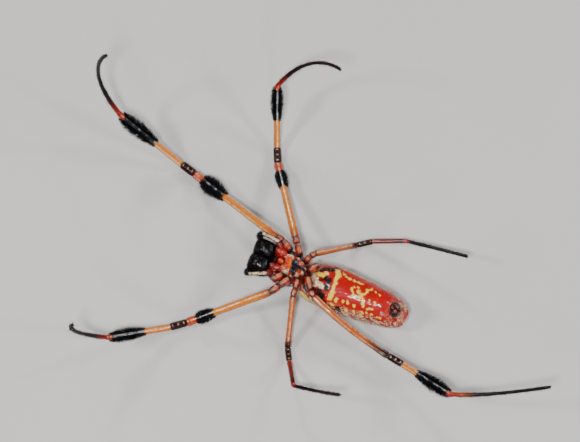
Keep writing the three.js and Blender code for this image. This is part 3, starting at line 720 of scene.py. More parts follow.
# Fine hairs that lie along a leg all the way, and some longer upright ones.
def makeLegHair(name, leg):
    draw = np.random.default_rng(70 + list(legShape["legs"]).index(name))
    path, places = legPath(leg)
    run = np.append(0, np.cumsum(np.linalg.norm(np.diff(path, axis=0), axis=1)))
    count = int(run[-1] * legHair["perMillimetre"])
    footStart = np.interp(5.06, places, run)
    onFoot = draw.uniform(0, 1, count) < legHair["footShare"]
    low = np.where(onFoot, footStart, 2.2)
    place = np.interp(low + (run[-1] - 0.2 - low) * draw.uniform(0, 1, count), run, places)
    angle = draw.uniform(0, fullTurn, count)
    stations = legStations(leg, place)
    roots, outs = legSurface(stations, angle)
    upright = draw.uniform(0, 1, count) > 1 - legHair["uprightShare"]
    lengths = legHair["length"] * draw.uniform(0.6, 1.2, count)
    lengths *= np.where(upright, legHair["uprightLength"], 1)
    lengths *= np.where(onFoot, 1, 0.4 + 0.6 * fade(0.9, 0.4, np.cos(angle)))
    lengths *= 1 - 0.75 * fade(2.9, 3.05, place) * fade(4.05, 3.95, place)
    slants = np.where(upright, legHair["uprightSlant"], legHair["slant"]) + draw.normal(0, 6, count)
    slants = np.radians(slants)
    lies = unit(stations["along"] + 0.2 * draw.normal(size=(count, 3)))
    girths = legHair["girth"] * np.where(upright, legHair["uprightGirth"], 1)
    girths *= np.where(onFoot, legHair["footGirth"], 1)
    uv = 0.99 * np.stack([place / 6, angle / fullTurn], -1)
    light = fade(0.1, 0.4, np.interp(place, *paintShare(leg, 0)))
    marks = {"place": place, "shade": draw.uniform(0, 1, count), "light": light}
    bristles(
        f"hair_{name}", roots, outs, lies, lengths, girths, slants, bristleShape["hairBend"],
        bristleShape["hairRings"], hairFinish(name, leg), "amber_cuticle", marks, uv,
    )


def makeLegs():
    bristle = tuftFinish()
    for name, leg in legShape["legs"].items():
        makeLegSkin(name, leg)
        makeLegHair(name, leg)
        for part in ("femur", "tibia"):
            if part + "Tuft" in leg:
                makeTuft(name, leg, part, bristle)
    for name, leg in legShape["stumps"].items():
        makeLegSkin(name, leg)


makeLegs()
print("legs made")


# Abdomen

abdomenShape = {
    "length": 18.8, "width": 7.3, "height": 7.15, "front": -9.35, "shoulderZ": 1.9, "tailZ": 3.3,
    "rows": 280, "columns": 240,
}


def rounding(share, power):  # 0 at both ends of a body and 1 along its middle
    return (1 - np.abs(2 * share - 1) ** power) ** (1 / power)


# The abdomen at a share of its length and an angle from +Z towards +X: a barrel, slimmer behind, whose top
# line climbs from the front and whose back is flat where it rests.
def abdomenPoints(share, angle):
    a = abdomenShape
    share, angle = np.broadcast_arrays(share, angle)
    flat = 3 * legShape["sunk"]
    halfWidth = a["width"] / 2 * rounding(share, 3) * (1 - 0.16 * fade(0.32, 0.78, share))
    fromFront = share * a["length"]
    climb = 1 - np.maximum(0, 1 - fromFront / 6) ** 2.2
    drop = np.maximum(0, (share - 0.72) / 0.28) ** 2.3
    crest = a["height"] - flat
    high = a["shoulderZ"] + (crest - a["shoulderZ"]) * climb ** 1.1 - (crest - a["tailZ"]) * drop
    shoulder = np.maximum(0, 1 - fromFront / 2.6) ** 2.4
    rump = np.maximum(0, (share - 0.7) / 0.3) ** 2.6
    low = -flat + (a["shoulderZ"] + flat) * shoulder + (a["tailZ"] + flat) * rump
    x = halfWidth * np.sin(angle)
    z = (low + high) / 2 + (high - low) / 2 * np.cos(angle)
    return np.stack([x, a["front"] + share * a["length"], z], -1)


# Marks of the belly: a list of points (y in millimetres, angle in degrees) that are joined, and a half width
bellyMarks = {
    "yellow": [
        ([(-3.45, -40), (-3.1, -26)], 0.42), ([(-3.1, -26), (-3.05, 3), (-2.95, 22)], 0.3),
        ([(-2.95, 22), (-2.95, 40)], 0.36), ([(-2.35, -40), (-2.2, -37)], 0.13),
        ([(-1.96, -32), (-1.0, -29), (1.0, -31)], 0.14), ([(3.21, -26), (3.4, -25)], 0.13),
        ([(4.0, -23), (4.2, -21)], 0.16), ([(-0.35, -7), (-0.2, 0), (0.2, 5)], 0.15),
        ([(0.75, -15), (0.85, -8), (1.06, -1)], 0.17), ([(-0.02, -13), (0.05, -12)], 0.09),
        ([(1.39, 0), (2.0, -6), (2.1, -19), (2.5, -24), (2.64, -29)], 0.19),
        ([(1.5, 2), (1.89, 12), (2.42, 30)], 0.22), ([(3.04, 8), (3.06, 9)], 0.12),
        ([(3.9, 8), (4.05, 8)], 0.14), ([(-2.1, 38), (-1.8, 42), (-1.96, 36)], 0.22),
        ([(-0.95, 33), (-0.85, 36)], 0.17), ([(-0.12, 31), (-0.05, 36)], 0.19),
        ([(0.9, 34), (1.02, 39)], 0.19),
        ([(0.0, 58), (0.2, 60)], 0.24), ([(3.5, 31), (3.9, 31)], 0.17), ([(3.1, 33), (3.3, 34)], 0.12),
        ([(-2.4, 54), (-2.0, 58)], 0.15), ([(-2.7, 80), (-2.4, 83)], 0.2), ([(0.7, 88), (1.0, 92)], 0.18),
        ([(1.1, 53), (1.5, 54)], 0.13), ([(2.3, 48), (2.8, 50)], 0.14), ([(3.1, 45), (3.4, 46)], 0.12),
        ([(2.5, 63), (3.0, 64)], 0.13), ([(4.0, 46), (4.3, 47)], 0.12), ([(5.2, 48), (5.6, 50)], 0.15),
        ([(-3.4, -63), (-1.4, -62), (1.5, -64), (4.6, -70)], 0.08),
        ([(-6.2, -14), (-5.3, -12), (-5.06, -20)], 0.36), ([(-7.7, 66), (-7.0, 76), (-6.3, 84)], 0.5),
    ],
    "cream": [
        ([(-6.7, 0), (-6.1, 7)], 0.46), ([(-5.7, 13), (-4.83, 19)], 0.42), ([(-6.4, 25), (-6.1, 21)], 0.28),
        ([(-7.0, -14), (-6.7, -12)], 0.25), ([(0.44, 14), (1.1, 9)], 0.3),
    ],
    "dark": [
        ([(-5.9, -30), (-4.4, -38), (-3.9, -48)], 0.5),
        ([(-5.1, -6), (-4.4, -4), (-4.1, 8), (-4.0, 18)], 0.46),
        ([(-5.0, 33), (-4.2, 45), (-4.0, 60)], 0.5), ([(-1.3, 64), (-1.0, 68)], 0.5),
        ([(-7.4, 30), (-6.4, 45)], 0.6), ([(-7.8, -20), (-7.2, -45)], 0.7), ([(-5.5, 2), (-5.3, 0)], 0.25),
        ([(-6.2, 32), (-5.2, 34)], 0.22),
    ],
}
backSpots = {"pairs": [(-5.6, 152), (-3.0, 150), (-0.2, 153), (2.4, 155), (4.7, 158)], "size": 0.42}
unrolledRadius = 3.45


# How far each (y, angle) place lies from a chain of joined points, on the skin unrolled at a mean radius.
def chainDistance(y, angle, chain):
    place = np.stack([y, angle * unrolledRadius], -1)
    corners = np.array([(a, np.radians(b) * unrolledRadius) for a, b in chain])
    nearest = np.full(y.shape, np.inf)
    for start, end in zip(corners[:-1], corners[1:]):
        way = end - start
        share = np.clip(((place - start) @ way) / (way @ way), 0, 1)
        nearest = np.minimum(nearest, np.linalg.norm(place - start - share[..., None] * way, axis=-1))
    return nearest


# Strength of one kind of mark: 1 within the half width of any of its chains, with an uneven edge.
def bellyMark(kind, points, angle):
    uneven = 0.12 * ripple(points, 0.75, 21) + 0.08 * ripple(points, 0.3, 22)
    strength = np.zeros(angle.shape)
    for chain, halfWidth in bellyMarks[kind]:
        away = chainDistance(points[..., 1], angle, chain) + uneven
        strength = np.maximum(strength, 1 - fade(halfWidth - 0.06, halfWidth + 0.08, away))
    return strength


# The pairs of pale spots on the back and the pale band over its front end.
def backMark(points, angle):
    strength = np.zeros(angle.shape)
    for y, turn in backSpots["pairs"]:
        for sign in (-1, 1):
            away = chainDistance(points[..., 1], angle, [(y - 0.2, sign * turn), (y + 0.2, sign * turn)])
            strength = np.maximum(strength, 1 - fade(backSpots["size"] - 0.1, backSpots["size"] + 0.12, away))
    band = hill(points[..., 1], -7.3, 0.5) * fade(np.radians(95), np.radians(120), np.abs(angle))
    return np.maximum(strength, band)


# Relief of the belly in millimetres outwards: the furrow behind the lungs, the lung covers, the raised
# plate before the furrow with its pit, wrinkles round the spinnerets and a faint leathery unevenness.
def abdomenRelief(points, angle):
    y = points[..., 1]
    near = hill(angle, 0, 0.9)
    furrow = -0.1 * hill(y, -3.6 + 0.25 * np.cos(2 * angle), 0.16) * near
    lungs = 0.12 * hill(y, -5.1, 0.9) * (hill(angle, 0.62, 0.3) + hill(angle, -0.62, 0.3))
    plate = 0.2 * hill(y, -4.35, 0.45) * hill(angle, 0, 0.2)
    plate = plate - 0.16 * hill(y, -4.15, 0.14) * hill(angle, 0, 0.1)
    wrinkles = 0.02 * np.sin(5.2 * y) * fade(4.5, 7.0, y)
    uneven = 0.03 * ripple(points, 2.4, 31) + 0.012 * ripple(points, 0.8, 32)
    return furrow + lungs + plate + wrinkles + uneven


# Draws the skin in where the hind right thigh lies against it, so that both stay clear of each other.
def dentByThigh(points):
    gap, axisHeight, rightFront = 0.06, 3.2, (0, -9)
    stations = legStations(legShape["legs"]["right_4"], np.linspace(0.3, 3, 90))
    clear = stations["radius"] * np.maximum(stations["tall"], 1) + gap
    beside = (points[:, 0] > rightFront[0]) & (points[:, 1] > rightFront[1])
    near = points[beside]
    for _ in range(4):  # each round comes closer to the wanted gap
        away = np.linalg.norm(near[:, None] - stations["centre"][None], axis=-1) - clear
        depth = np.clip(-away.min(1), 0, None)
        axis = np.stack([np.zeros(len(near)), near[:, 1], np.full(len(near), axisHeight)], -1)
        near = near + unit(axis - near) * depth[:, None]
    points[beside] = near
    return points


# Skin of the abdomen: red with darker clouds, a net of pale flecks on the flanks, then the painted marks.
def abdomenFinish():
    finish, tree, shader = newFinish(
        "abdomen skin", Roughness=0.42, Specular_IOR_Level=0.25, Subsurface_Weight=0.1,
        Subsurface_Scale=0.0006, Coat_Weight=0.3, Coat_Roughness=0.1,
    )
    cloud = ranged(tree, grain(tree, 1.6, 4), 0.35, 0.7)
    base = laidOver(tree, colour("bellyRed"), "deepRed", cloud, 0.35)
    flank = mark(tree, "flank")
    base = laidOver(tree, base, "deepRed", flank, 0.6)
    coords = addNode(tree, "ShaderNodeTexCoord").outputs["Object"]
    sockets = {"Vector": coords, "Scale": (2.2, 0.8, 2.2)}
    stretch = addNode(tree, "ShaderNodeMapping", sockets).outputs["Vector"]
    jitter = addNode(tree, "ShaderNodeTexNoise", {"Vector": coords, "Scale": 1400.0}).outputs["Color"]
    sockets = {"Vector": blend(tree, 0.0006, stretch, jitter, "ADD"), "Scale": 1500.0}
    cells = addNode(tree, "ShaderNodeTexVoronoi", sockets, feature="DISTANCE_TO_EDGE").outputs["Distance"]
    net = ranged(tree, cells, 0.13, 0.04)
    patches = ranged(tree, grain(tree, 0.8, 3), 0.42, 0.56)
    base = laidOver(tree, base, "cream", maths(tree, "MULTIPLY", net, patches), flank)
    torn = ranged(tree, grain(tree, 0.4, 5, 0.65), 0.36, 0.5, 0.2, 1.0)
    base = laidOver(tree, base, "cream", mark(tree, "cream"), torn)
    broken = ranged(tree, grain(tree, 0.45, 5, 0.65), 0.3, 0.44, 0.3, 1.0)
    base = laidOver(tree, base, "black", mark(tree, "dark"), broken)
    base = laidOver(tree, base, "yellow", mark(tree, "yellow"))
    tree.links.new(base, shader.inputs["Base Color"])
    height = maths(tree, "ADD", grain(tree, 0.12, 4), maths(tree, "MULTIPLY", mark(tree, "yellow"), 0.6))
    addBump(tree, shader, height, 0.035, 0.7)
    return finish


# The abdomen's skin: its rings pushed out by the relief and drawn in by the thigh, with its marks.
def makeAbdomen():
    share = ringShares(0.012, abdomenShape["rows"])
    angle = around(abdomenShape["columns"])[None] - np.pi
    share, angle = np.broadcast_arrays(share, angle)
    points = abdomenPoints(share, angle)
    middle = points.copy()
    middle[..., 0] = 0
    middle[..., 2] = points[..., 2].mean(1)[:, None]
    points = points + unit(points - middle) * abdomenRelief(points, angle)[..., None]
    grid = dentByThigh(points.reshape(-1, 3)).reshape(points.shape)
    whole, faceSets = shellOf(grid)
    side = fade(0.75, 1.15, angle) + fade(-0.85, -1.25, angle)
    rear = fade(5.6, 8.2, grid[..., 1]) * 0.65
    marks = {
        "yellow": np.maximum(bellyMark("yellow", grid, angle), backMark(grid, angle)),
        "cream": bellyMark("cream", grid, angle),
        "dark": bellyMark("dark", grid, angle),
        "flank": np.clip(side + rear + fade(-5.5, -8, grid[..., 1]) * 0.8, 0, 1),
    }
    marks = {key: withPoles(values) for key, values in marks.items()}
    makePiece("abdomen_skin", whole, faceSets, abdomenFinish(), "abdomen_skin", ["abdomen"], marks)
    return grid, angle


abdomenGrid, abdomenAngle = makeAbdomen()


# Random roots on the skin of a grid, spread by area times a weight, with the outward way, the way along the
# body and the place in the UV map.
def scattered(grid, weight, count, draw):
    columns = grid.shape[1]
    ahead = np.gradient(grid, axis=0)
    aside = (np.roll(grid, -1, 1) - np.roll(grid, 1, 1)) / 2
    outs = np.cross(ahead, aside)
    if (outs * (grid - grid.mean(1, keepdims=True))).sum() < 0:
        outs = -outs
    chance = (np.linalg.norm(outs, axis=-1) * weight).ravel()
    chosen = draw.choice(len(chance), count, p=chance / chance.sum())
    row, column = np.divmod(chosen, columns)
    shift = draw.uniform(-0.5, 0.5, (count, 2))
    roots = grid[row, column] + shift[:, :1] * ahead[row, column] + shift[:, 1:] * aside[row, column]
    uv = 0.99 * np.stack([row / grid.shape[0], column / columns], -1)
    return roots, unit(outs[row, column]), unit(ahead[row, column]), uv


# A coat of short hairs on a grid's skin. The way they lie leans off the rows by a little.
def makeCoat(name, grid, weight, coat, finish, slotName, seed):
    draw = np.random.default_rng(seed)
    roots, outs, lies, uv = scattered(grid, weight, coat["count"], draw)
    lies = coat.get("way", 1) * lies + coat["mess"] * draw.normal(size=lies.shape)
    lies = unit(lies - (lies * outs).sum(-1, keepdims=True) * outs)
    lengths = coat["length"] * draw.uniform(0.55, 1.25, len(roots))
    slants = np.radians(coat["slant"] + draw.normal(0, 7, len(roots)))
    girths = np.full(len(roots), coat["girth"])
    marks = {"shade": draw.uniform(0, 1, len(roots))}
    bend, rings = bristleShape["hairBend"], bristleShape["hairRings"]
    bristles(name, roots, outs, lies, lengths, girths, slants, bend, rings, finish, slotName, marks, uv)


def coatFinish(name, dark, light):  # hairs of any tone between two colours
    finish, tree, shader = newFinish(name, Roughness=0.45, Specular_IOR_Level=0.25)
    paint(tree, shader, laidOver(tree, colour(dark), light, mark(tree, "shade")), 0.06, 0.004)
    return finish


abdomenCoat = {"count": 5200, "length": 0.42, "girth": 0.011, "slant": 34, "mess": 0.35}
makeCoat(
    "abdomen_coat", abdomenGrid, fade(0.7, 1.7, np.abs(abdomenAngle)) + 0.08, abdomenCoat,
    coatFinish("abdomen hair", "rust", "silver"), "abdomen_skin", 51,
)
print("abdomen made")


# Head part: the carapace, the soft skin between the hips and the stalk to the abdomen

carapaceShape = {
    "length": 8.2, "width": 6.0, "headWidth": 4.6, "front": -16.45, "rim": 4.9, "brow": 3.3, "crown": 2.1,
    "pitY": -11.2, "rows": 170, "columns": 150,
}
humpShape = {"x": 0.95, "y": -13.7, "high": 0.4, "spread": 0.62}


# The carapace at a share of its length and an angle from +Z: flat below the hips and domed towards the
# floor, with a narrow head in front, a groove behind it, two humps, a pit, and faint furrows that fan out
# from the pit.
def carapacePoints(share, angle):
    c = carapaceShape
    share, angle = np.broadcast_arrays(share, angle)
    y = c["front"] + share * c["length"]
    waist = 1 - (1 - c["headWidth"] / c["width"]) * (1 - fade(0.28, 0.52, share))
    halfWidth = c["width"] / 2 * rounding(share, 2.6) * waist
    rim = c["brow"] + (c["rim"] - c["brow"]) * fade(0.12, 0.34, share)
    groove = 0.35 * hill(share, 0.5, 0.07) + 0.3 * hill(share, 0.7, 0.08)
    crown = c["crown"] + 0.7 * fade(0.42, 0.6, share) + groove
    x = halfWidth * np.sin(angle)
    edge = rim - 0.35
    over = np.cos(angle) > 0
    flatSide = edge + (rim - edge) * np.abs(np.cos(angle)) ** 0.4
    bump = humpShape["high"] * hill(np.abs(x), humpShape["x"], humpShape["spread"])
    bump = bump * hill(y, humpShape["y"], 1.5 * humpShape["spread"])
    behind = y - c["pitY"]
    furrows = 0.05 * np.cos(8 * np.arctan2(x, behind)) * fade(0.4, 1.2, np.hypot(x, behind))
    furrows = furrows * fade(-14, -12.5, y)
    neck = 0.16 * hill(np.abs(x) - 0.42 * (y + 14.6), 1.0, 0.22) * hill(y, -12.9, 0.9)
    pit = 0.22 * hill(x, 0, 0.35) * hill(y, c["pitY"], 0.22)
    dome = (edge - crown) * rounding(share, 2.4) * np.abs(np.cos(angle)) ** 0.85
    domeSide = edge - dome - bump + (furrows + neck + pit) * np.abs(np.cos(angle))
    return np.stack([x, y, np.where(over, flatSide, domeSide)], -1)


# Dark red cuticle with clouds, black towards the head.
def carapaceFinish():
    finish, tree, shader = newFinish("carapace cuticle", Roughness=0.36, Coat_Weight=0.2, Coat_Roughness=0.2)
    base = clouds(tree, 0.9, 4, 0.35, 0.7, "wine", "russet")
    base = laidOver(tree, base, "black", mark(tree, "head"), 0.85)
    paint(tree, shader, base, 0.1, 0.03, 0.8, 4)
    return finish


carapaceCoat = {"count": 7500, "length": 0.5, "girth": 0.013, "slant": 20, "mess": 0.3, "way": -1}


# The carapace's skin and the silver hair on its floor side, thicker in patches and behind.
def makeCarapace():
    share = ringShares(0.012, carapaceShape["rows"])
    angle = around(carapaceShape["columns"])[None] - np.pi
    grid = carapacePoints(share, angle)
    grid[..., 2] += 0.02 * ripple(grid, 0.9, 41)
    marks = {"head": withPoles(1 - fade(-14.2, -12.6, grid[..., 1]), 1, 0)}
    makePiece("carapace_skin", *shellOf(grid), carapaceFinish(), "dark_cuticle", ["carapace"], marks)
    lower = (np.cos(angle) < -0.4) * np.ones_like(share)
    patchy = 0.15 + fade(-0.3, 0.4, ripple(grid, 1.3, 42)) + (grid[..., 1] > -12.3)
    makeCoat(
        "carapace_coat", grid, lower * patchy, carapaceCoat, coatFinish("silver hair", "silver", "cream"),
        "pale_cuticle", 52,
    )


hipSkinShape = {
    "middle": (-0.2, -10.6), "halfWidth": 2.7, "halfLength": 3.2, "edge": 4.5, "top": 6.3, "rows": 40,
    "columns": 96,
}


# The soft skin between the hips: a low dome with folds, edge plus rise times (1 - distance^4).
def makeHipSkin():
    shape = hipSkinShape
    far = np.linspace(1, 0.02, shape["rows"])[:, None]
    angle = around(shape["columns"])[None]
    folds = 1 + 0.03 * np.sin(9 * angle)
    x = shape["middle"][0] + shape["halfWidth"] * far * folds * np.cos(angle)
    y = shape["middle"][1] + shape["halfLength"] * far * folds * np.sin(angle)
    z = shape["edge"] + (shape["top"] - shape["edge"]) * (1 - far ** 4) * np.ones_like(angle)
    grid = np.stack([x, y, z], -1)
    grid[..., 2] += 0.04 * ripple(grid, 0.5, 44)
    finish, tree, shader = newFinish(
        "hip skin", Roughness=0.4, Subsurface_Weight=0.1, Subsurface_Scale=0.0004,
    )
    paint(tree, shader, clouds(tree, 0.4, 4, 0.4, 0.6, "seam", "hip"), 0.12, 0.05, 0.9, 4)
    makePiece("hip_skin", *shellOf(grid), finish, "russet_cuticle")


stalkShape = {"front": -8.7, "rear": -6.7, "z": 4.5, "radius": 0.4, "waist": 0.05, "rings": 0.02}


# The stalk: a straight tube with a waist in its middle and fine rings.
def makeStalk():
    shape = stalkShape
    y = np.linspace(shape["front"], shape["rear"], 40)
    path = np.stack([0 * y, y, shape["z"] + 0 * y], -1)
    radius = shape["radius"] - shape["waist"] * hill(y, -7.7, 0.35) + shape["rings"] * np.cos(14 * y)
    finish, tree, shader = newFinish("stalk skin", Roughness=0.35)
    paint(tree, shader, clouds(tree, 0.3, 3, 0.4, 0.6, "wine", "russet"), 0.1, 0.03)
    grid = tubeGrid(path, radius, np.array([1.0, 0, 0]), 32)
    makePiece("stalk_skin", *shellOf(grid), finish, "russet_cuticle", ["pedicel"])


makeCarapace()
makeHipSkin()
makeStalk()
print("head part made")


# Plates of the underside

plateShape = {
    "sternum": {
        "x": -0.3, "front": -11.95, "length": 3.85, "width": 3.65, "top": 7.1, "lean": 0.2, "power": 0.72,
        "square": 0.6,
    },
    "labium": {
        "x": -0.32, "front": -13.15, "length": 1.2, "width": 1.15, "top": 7.0, "lean": 0, "power": 1,
        "square": 0.6,
    },
    "endite_left": {
        "x": -1.66, "front": -14.05, "length": 2.15, "width": 1.75, "top": 7.05, "lean": 0.15, "power": 0.95,
        "square": 0.4,
    },
    "endite_right": {
        "x": 0.92, "front": -14.0, "length": 2.15, "width": 1.5, "top": 7.05, "lean": 0.15, "power": 0.95,
        "square": 0.4,
    },
}
plateBottom = 4.7


# A plate at a share of its length: its half width is a power of a sine, its top is crowned and its edge
# round.
def platePoints(shape, share, angle):
    share, angle = np.broadcast_arrays(share, angle)
    swell = np.sin(np.pi * (0.03 + 0.94 * share) ** shape["power"]) ** shape["square"]
    halfWidth = shape["width"] / 2 * swell
    crown = shape["top"] - 0.22 * np.cos(angle) ** 2 - 0.25 * (1 - rounding(share, 3))
    middle = (crown + plateBottom) / 2
    edge = np.sign(np.sin(angle)) * np.abs(np.sin(angle)) ** 0.6
    x = shape["x"] + shape["lean"] * (share - 0.5) + halfWidth * np.cos(angle)
    y = shape["front"] + share * shape["length"]
    return np.stack([x, y, middle + (crown - plateBottom) / 2 * edge], -1)


def plateGrid(shape, rows=70, columns=96):  # rings closer together at the front and the rear
    return platePoints(shape, ringShares(0.02, rows), around(columns)[None])


sternumShape = {
    "middle": (-0.32, -10.1),
    "ridgeHigh": 0.34, "ridgeWide": 0.32,
    "notch": 0.26, "notchWide": 0.22,
    "corner": 0.42,  # how far the two front corners reach out
    "cornerTurns": (-2.14, -1.0), "cornerWide": 0.26,  # in radians from +X towards +Y
    "hollow": 0.16,
    "dark": [([(-10.25, -15), (-10.0, -4), (-9.95, 9)], 0.56), ([(-9.8, -6), (-8.5, -2)], 0.34)],
    "arc": ([(-11.05, -14), (-10.95, -6), (-10.8, 6)], 0.13),
}


def bandMark(grid, chain, halfWidth, soft):  # 1 within an uneven band along a chain of (y, angle) points
    uneven = 0.1 * ripple(grid, 0.9, 62) + 0.05 * ripple(grid, 0.45, 64)
    away = chainDistance(grid[..., 1], grid[..., 0] / unrolledRadius, chain) + uneven
    return 1 - fade(halfWidth - 0.1, halfWidth + soft, away)


# The sternum: a plate with a ridge towards each hip, a notch in the rim between each two, two corners in
# front and a hollow in the middle. Its marks are a dark field, an arc in front of it, pale ridge ends and
# corners, and a painted highlight along the rim.
def sternumSkin():
    shape = sternumShape
    grid = plateGrid(plateShape["sternum"], 110, 144)
    middle = np.array(shape["middle"])
    upward = fade(6.2, 6.7, grid[..., 2])
    away = grid[..., :2] - middle
    far = np.linalg.norm(away, axis=-1)
    hips = [*legShape["legs"].values(), *legShape["stumps"].values()]
    ways = unit(np.array([hip["root"] for hip in hips]) - middle)
    turns = np.sort(np.arctan2(ways[:, 1], ways[:, 0]))
    between = (turns + np.append(turns[1:], turns[0] + fullTurn)) / 2
    knobs, notches = np.zeros(grid.shape[:2]), np.zeros(grid.shape[:2])
    for way in ways:
        out, aside = away @ way, away @ np.array([-way[1], way[0]])
        knobs = np.maximum(knobs, hill(aside, 0, shape["ridgeWide"]) * fade(0.5, 1.2, out))
    turn = np.arctan2(away[..., 1], away[..., 0])
    for middleTurn in between:
        off = np.abs((turn - middleTurn + np.pi) % fullTurn - np.pi)
        notches = np.maximum(notches, hill(off, 0, shape["notchWide"]) * fade(0.9, 1.6, far))
    corners = sum(hill(turn, corner, shape["cornerWide"]) for corner in shape["cornerTurns"])
    reach = shape["corner"] * corners * fade(1.0, 1.9, far)
    reach = reach - shape["notch"] * notches * (1 - np.minimum(corners, 1))
    grid[..., :2] += (reach / np.maximum(far, 0.1))[..., None] * away
    hollow = shape["hollow"] * (1 - fade(0.2, 1.0, far))
    grid[..., 2] += upward * (shape["ridgeHigh"] * knobs - hollow + 0.02 * ripple(grid, 0.5, 61))
    dark = np.zeros(grid.shape[:2])
    for chain, halfWidth in shape["dark"]:
        dark = np.maximum(dark, bandMark(grid, chain, halfWidth, 0.14))
    # painted highlight: a pale band along the rim, added to the pale ridge ends and corners
    rim = fade(1.4, 1.8, far) * 0.3
    spots = knobs * fade(0.9, 1.4, far) + rim + 0.8 * corners * fade(1.5, 1.9, far)
    pale = fade(0.5, 1.0, spots + 0.35 * ripple(grid, 0.45, 63)) * (1 - dark)
    arc = bandMark(grid, *shape["arc"], 0.12) * (1 - dark)
    return grid, {"dark": withPoles(dark), "pale": withPoles(pale), "arc": withPoles(arc)}


# Red cuticle with orange spots, pale veined ridge ends, a painted highlight along the rim, an orange arc and
# a blue-black field.
def sternumFinish():
    finish, tree, shader = newFinish(
        "sternum cuticle", Roughness=0.3, Specular_IOR_Level=0.25, Coat_Weight=0.7, Coat_Roughness=0.07,
        Subsurface_Weight=0.06, Subsurface_Scale=0.0003,
    )
    base = clouds(tree, 0.5, 4, 0.4, 0.65, "scarlet", "coral")
    base = laidOver(tree, base, "amber", ranged(tree, grain(tree, 0.3), 0.55, 0.7))
    veins = ranged(tree, grain(tree, 0.28, 4), 0.36, 0.52, 0.25, 0.95)
    base = laidOver(tree, base, "cream", mark(tree, "pale"), veins)
    base = laidOver(tree, base, "amber", mark(tree, "arc"), 0.8)
    base = laidOver(tree, base, "ink", mark(tree, "dark"))
    paint(tree, shader, base, 0.12, 0.015, 0.6)
    return finish


def makeSternum():
    grid, marks = sternumSkin()
    makePiece("sternum_skin", *shellOf(grid), sternumFinish(), "red_cuticle", ["sternum"], marks)


# Darker and paler colour of each mouth plate, and its slot
mouthFinish = {
    "labium": ("scarlet", "coral", "pale_cuticle"),
    "endite_left": ("deepRed", "scarlet", "red_cuticle"),
    # the right endite's wine, darker than the left endite, is painted shade
    "endite_right": ("wine", "scarlet", "red_cuticle"),
}


# The labium and the endites: plates with a faint unevenness on top, painted glints as cream flecks and a dark
# front edge.
def makeMouthPlates():
    for name, (first, second, slotName) in mouthFinish.items():
        grid = plateGrid(plateShape[name])
        grid[..., 2] += 0.03 * ripple(grid, 0.7, 66) * fade(6.2, 6.7, grid[..., 2])
        finish, tree, shader = newFinish(
            name + " cuticle", Roughness=0.3, Specular_IOR_Level=0.25, Coat_Weight=0.7, Coat_Roughness=0.07,
        )
        base = clouds(tree, 0.45, 4, 0.4, 0.62, first, second)
        # painted glints: small cream flecks
        base = laidOver(tree, base, "cream", ranged(tree, grain(tree, 0.24, 4), 0.6, 0.72, 0, 0.55))
        base = laidOver(tree, base, "wine", ranged(tree, mark(tree, "tip"), 0.5, 1.0, 0, 0.9))
        paint(tree, shader, base, 0.09, 0.025, 0.8, 4)
        front = plateShape[name]["front"]
        marks = {"tip": withPoles(1 - fade(front, front + 0.9, grid[..., 1]), 1, 0)}
        makePiece(name + "_skin", *shellOf(grid), finish, slotName, [name], marks)


makeSternum()
makeMouthPlates()
print("plates made")


# Jaws, feelers and eyes

jawShape = {
    "x": 1.33, "y": -15.52, "bottom": 3.4, "top": 7.25, "across": 1.22, "deep": 1.5, "square": 5.0,
    "fangRadius": 0.25, "fangReach": 1.1, "rows": 60, "columns": 72,
    "profile": [  # share of the height and size there
        (0, 0.85), (0.1, 0.97), (0.4, 1.06), (0.7, 1.04), (0.87, 0.9), (0.95, 0.7), (0.985, 0.46), (1, 0.16),
    ],
}


# A jaw: upright rings whose size follows a rounded profile, each ring a squared ellipse.
def jawGrid(sign):
    shape = jawShape
    share = np.linspace(0, 1, shape["rows"])
    size = eased(np.interp(share, *zip(*shape["profile"])), 1.6)[:, None]
    angle = around(shape["columns"])[None]
    lean = (-0.3 * share ** 2)[:, None]
    power = shape["square"]
    norm = (np.abs(np.cos(angle)) ** power + np.abs(np.sin(angle)) ** power) ** (-1 / power)
    x = sign * (shape["x"] + lean * 0.4) + shape["across"] * size * norm * np.cos(angle)
    y = shape["y"] + lean * 0.6 + shape["deep"] * size * norm * np.sin(angle)
    z = (shape["bottom"] + (shape["top"] - shape["bottom"]) * share)[:, None] + 0 * angle
    grid = np.stack([x, y, z], -1)
    return grid + 0.02 * ripple(grid, 0.8, 71)[..., None]


def blackFinish(name, roughness):
    finish, tree, shader = newFinish(
        name, Roughness=roughness, Specular_IOR_Level=0.25, Coat_Weight=0.3, Coat_Roughness=0.04,
    )
    paint(tree, shader, clouds(tree, 0.4, 4, 0.4, 0.7, "black", "ink"), 0.08, 0.02, 0.7, 4)
    return finish


# A fang: a tube that thins to a point and bends across the end of its jaw.
def fangGrid(sign):
    shape = jawShape
    share = np.linspace(0, 1, 40)
    x = sign * (shape["x"] + 0.3 - shape["fangReach"] * share)
    y = shape["y"] - 0.55 + 0.95 * share ** 2
    z = shape["top"] + 0.4 + 0.12 * np.sin(np.pi * share) - 0.1 * (1 - share)
    radius = shape["fangRadius"] * (1.15 - 0.75 * share ** 2) * (1 - 0.85 * fade(0.8, 1, share))
    return tubeGrid(np.stack([x, y, z], -1), radius, np.array([0, 1.0, 0]), 24)


jawCoat = {"count": 2600, "length": 0.55, "girth": 0.022, "slant": 42, "mess": 0.5}


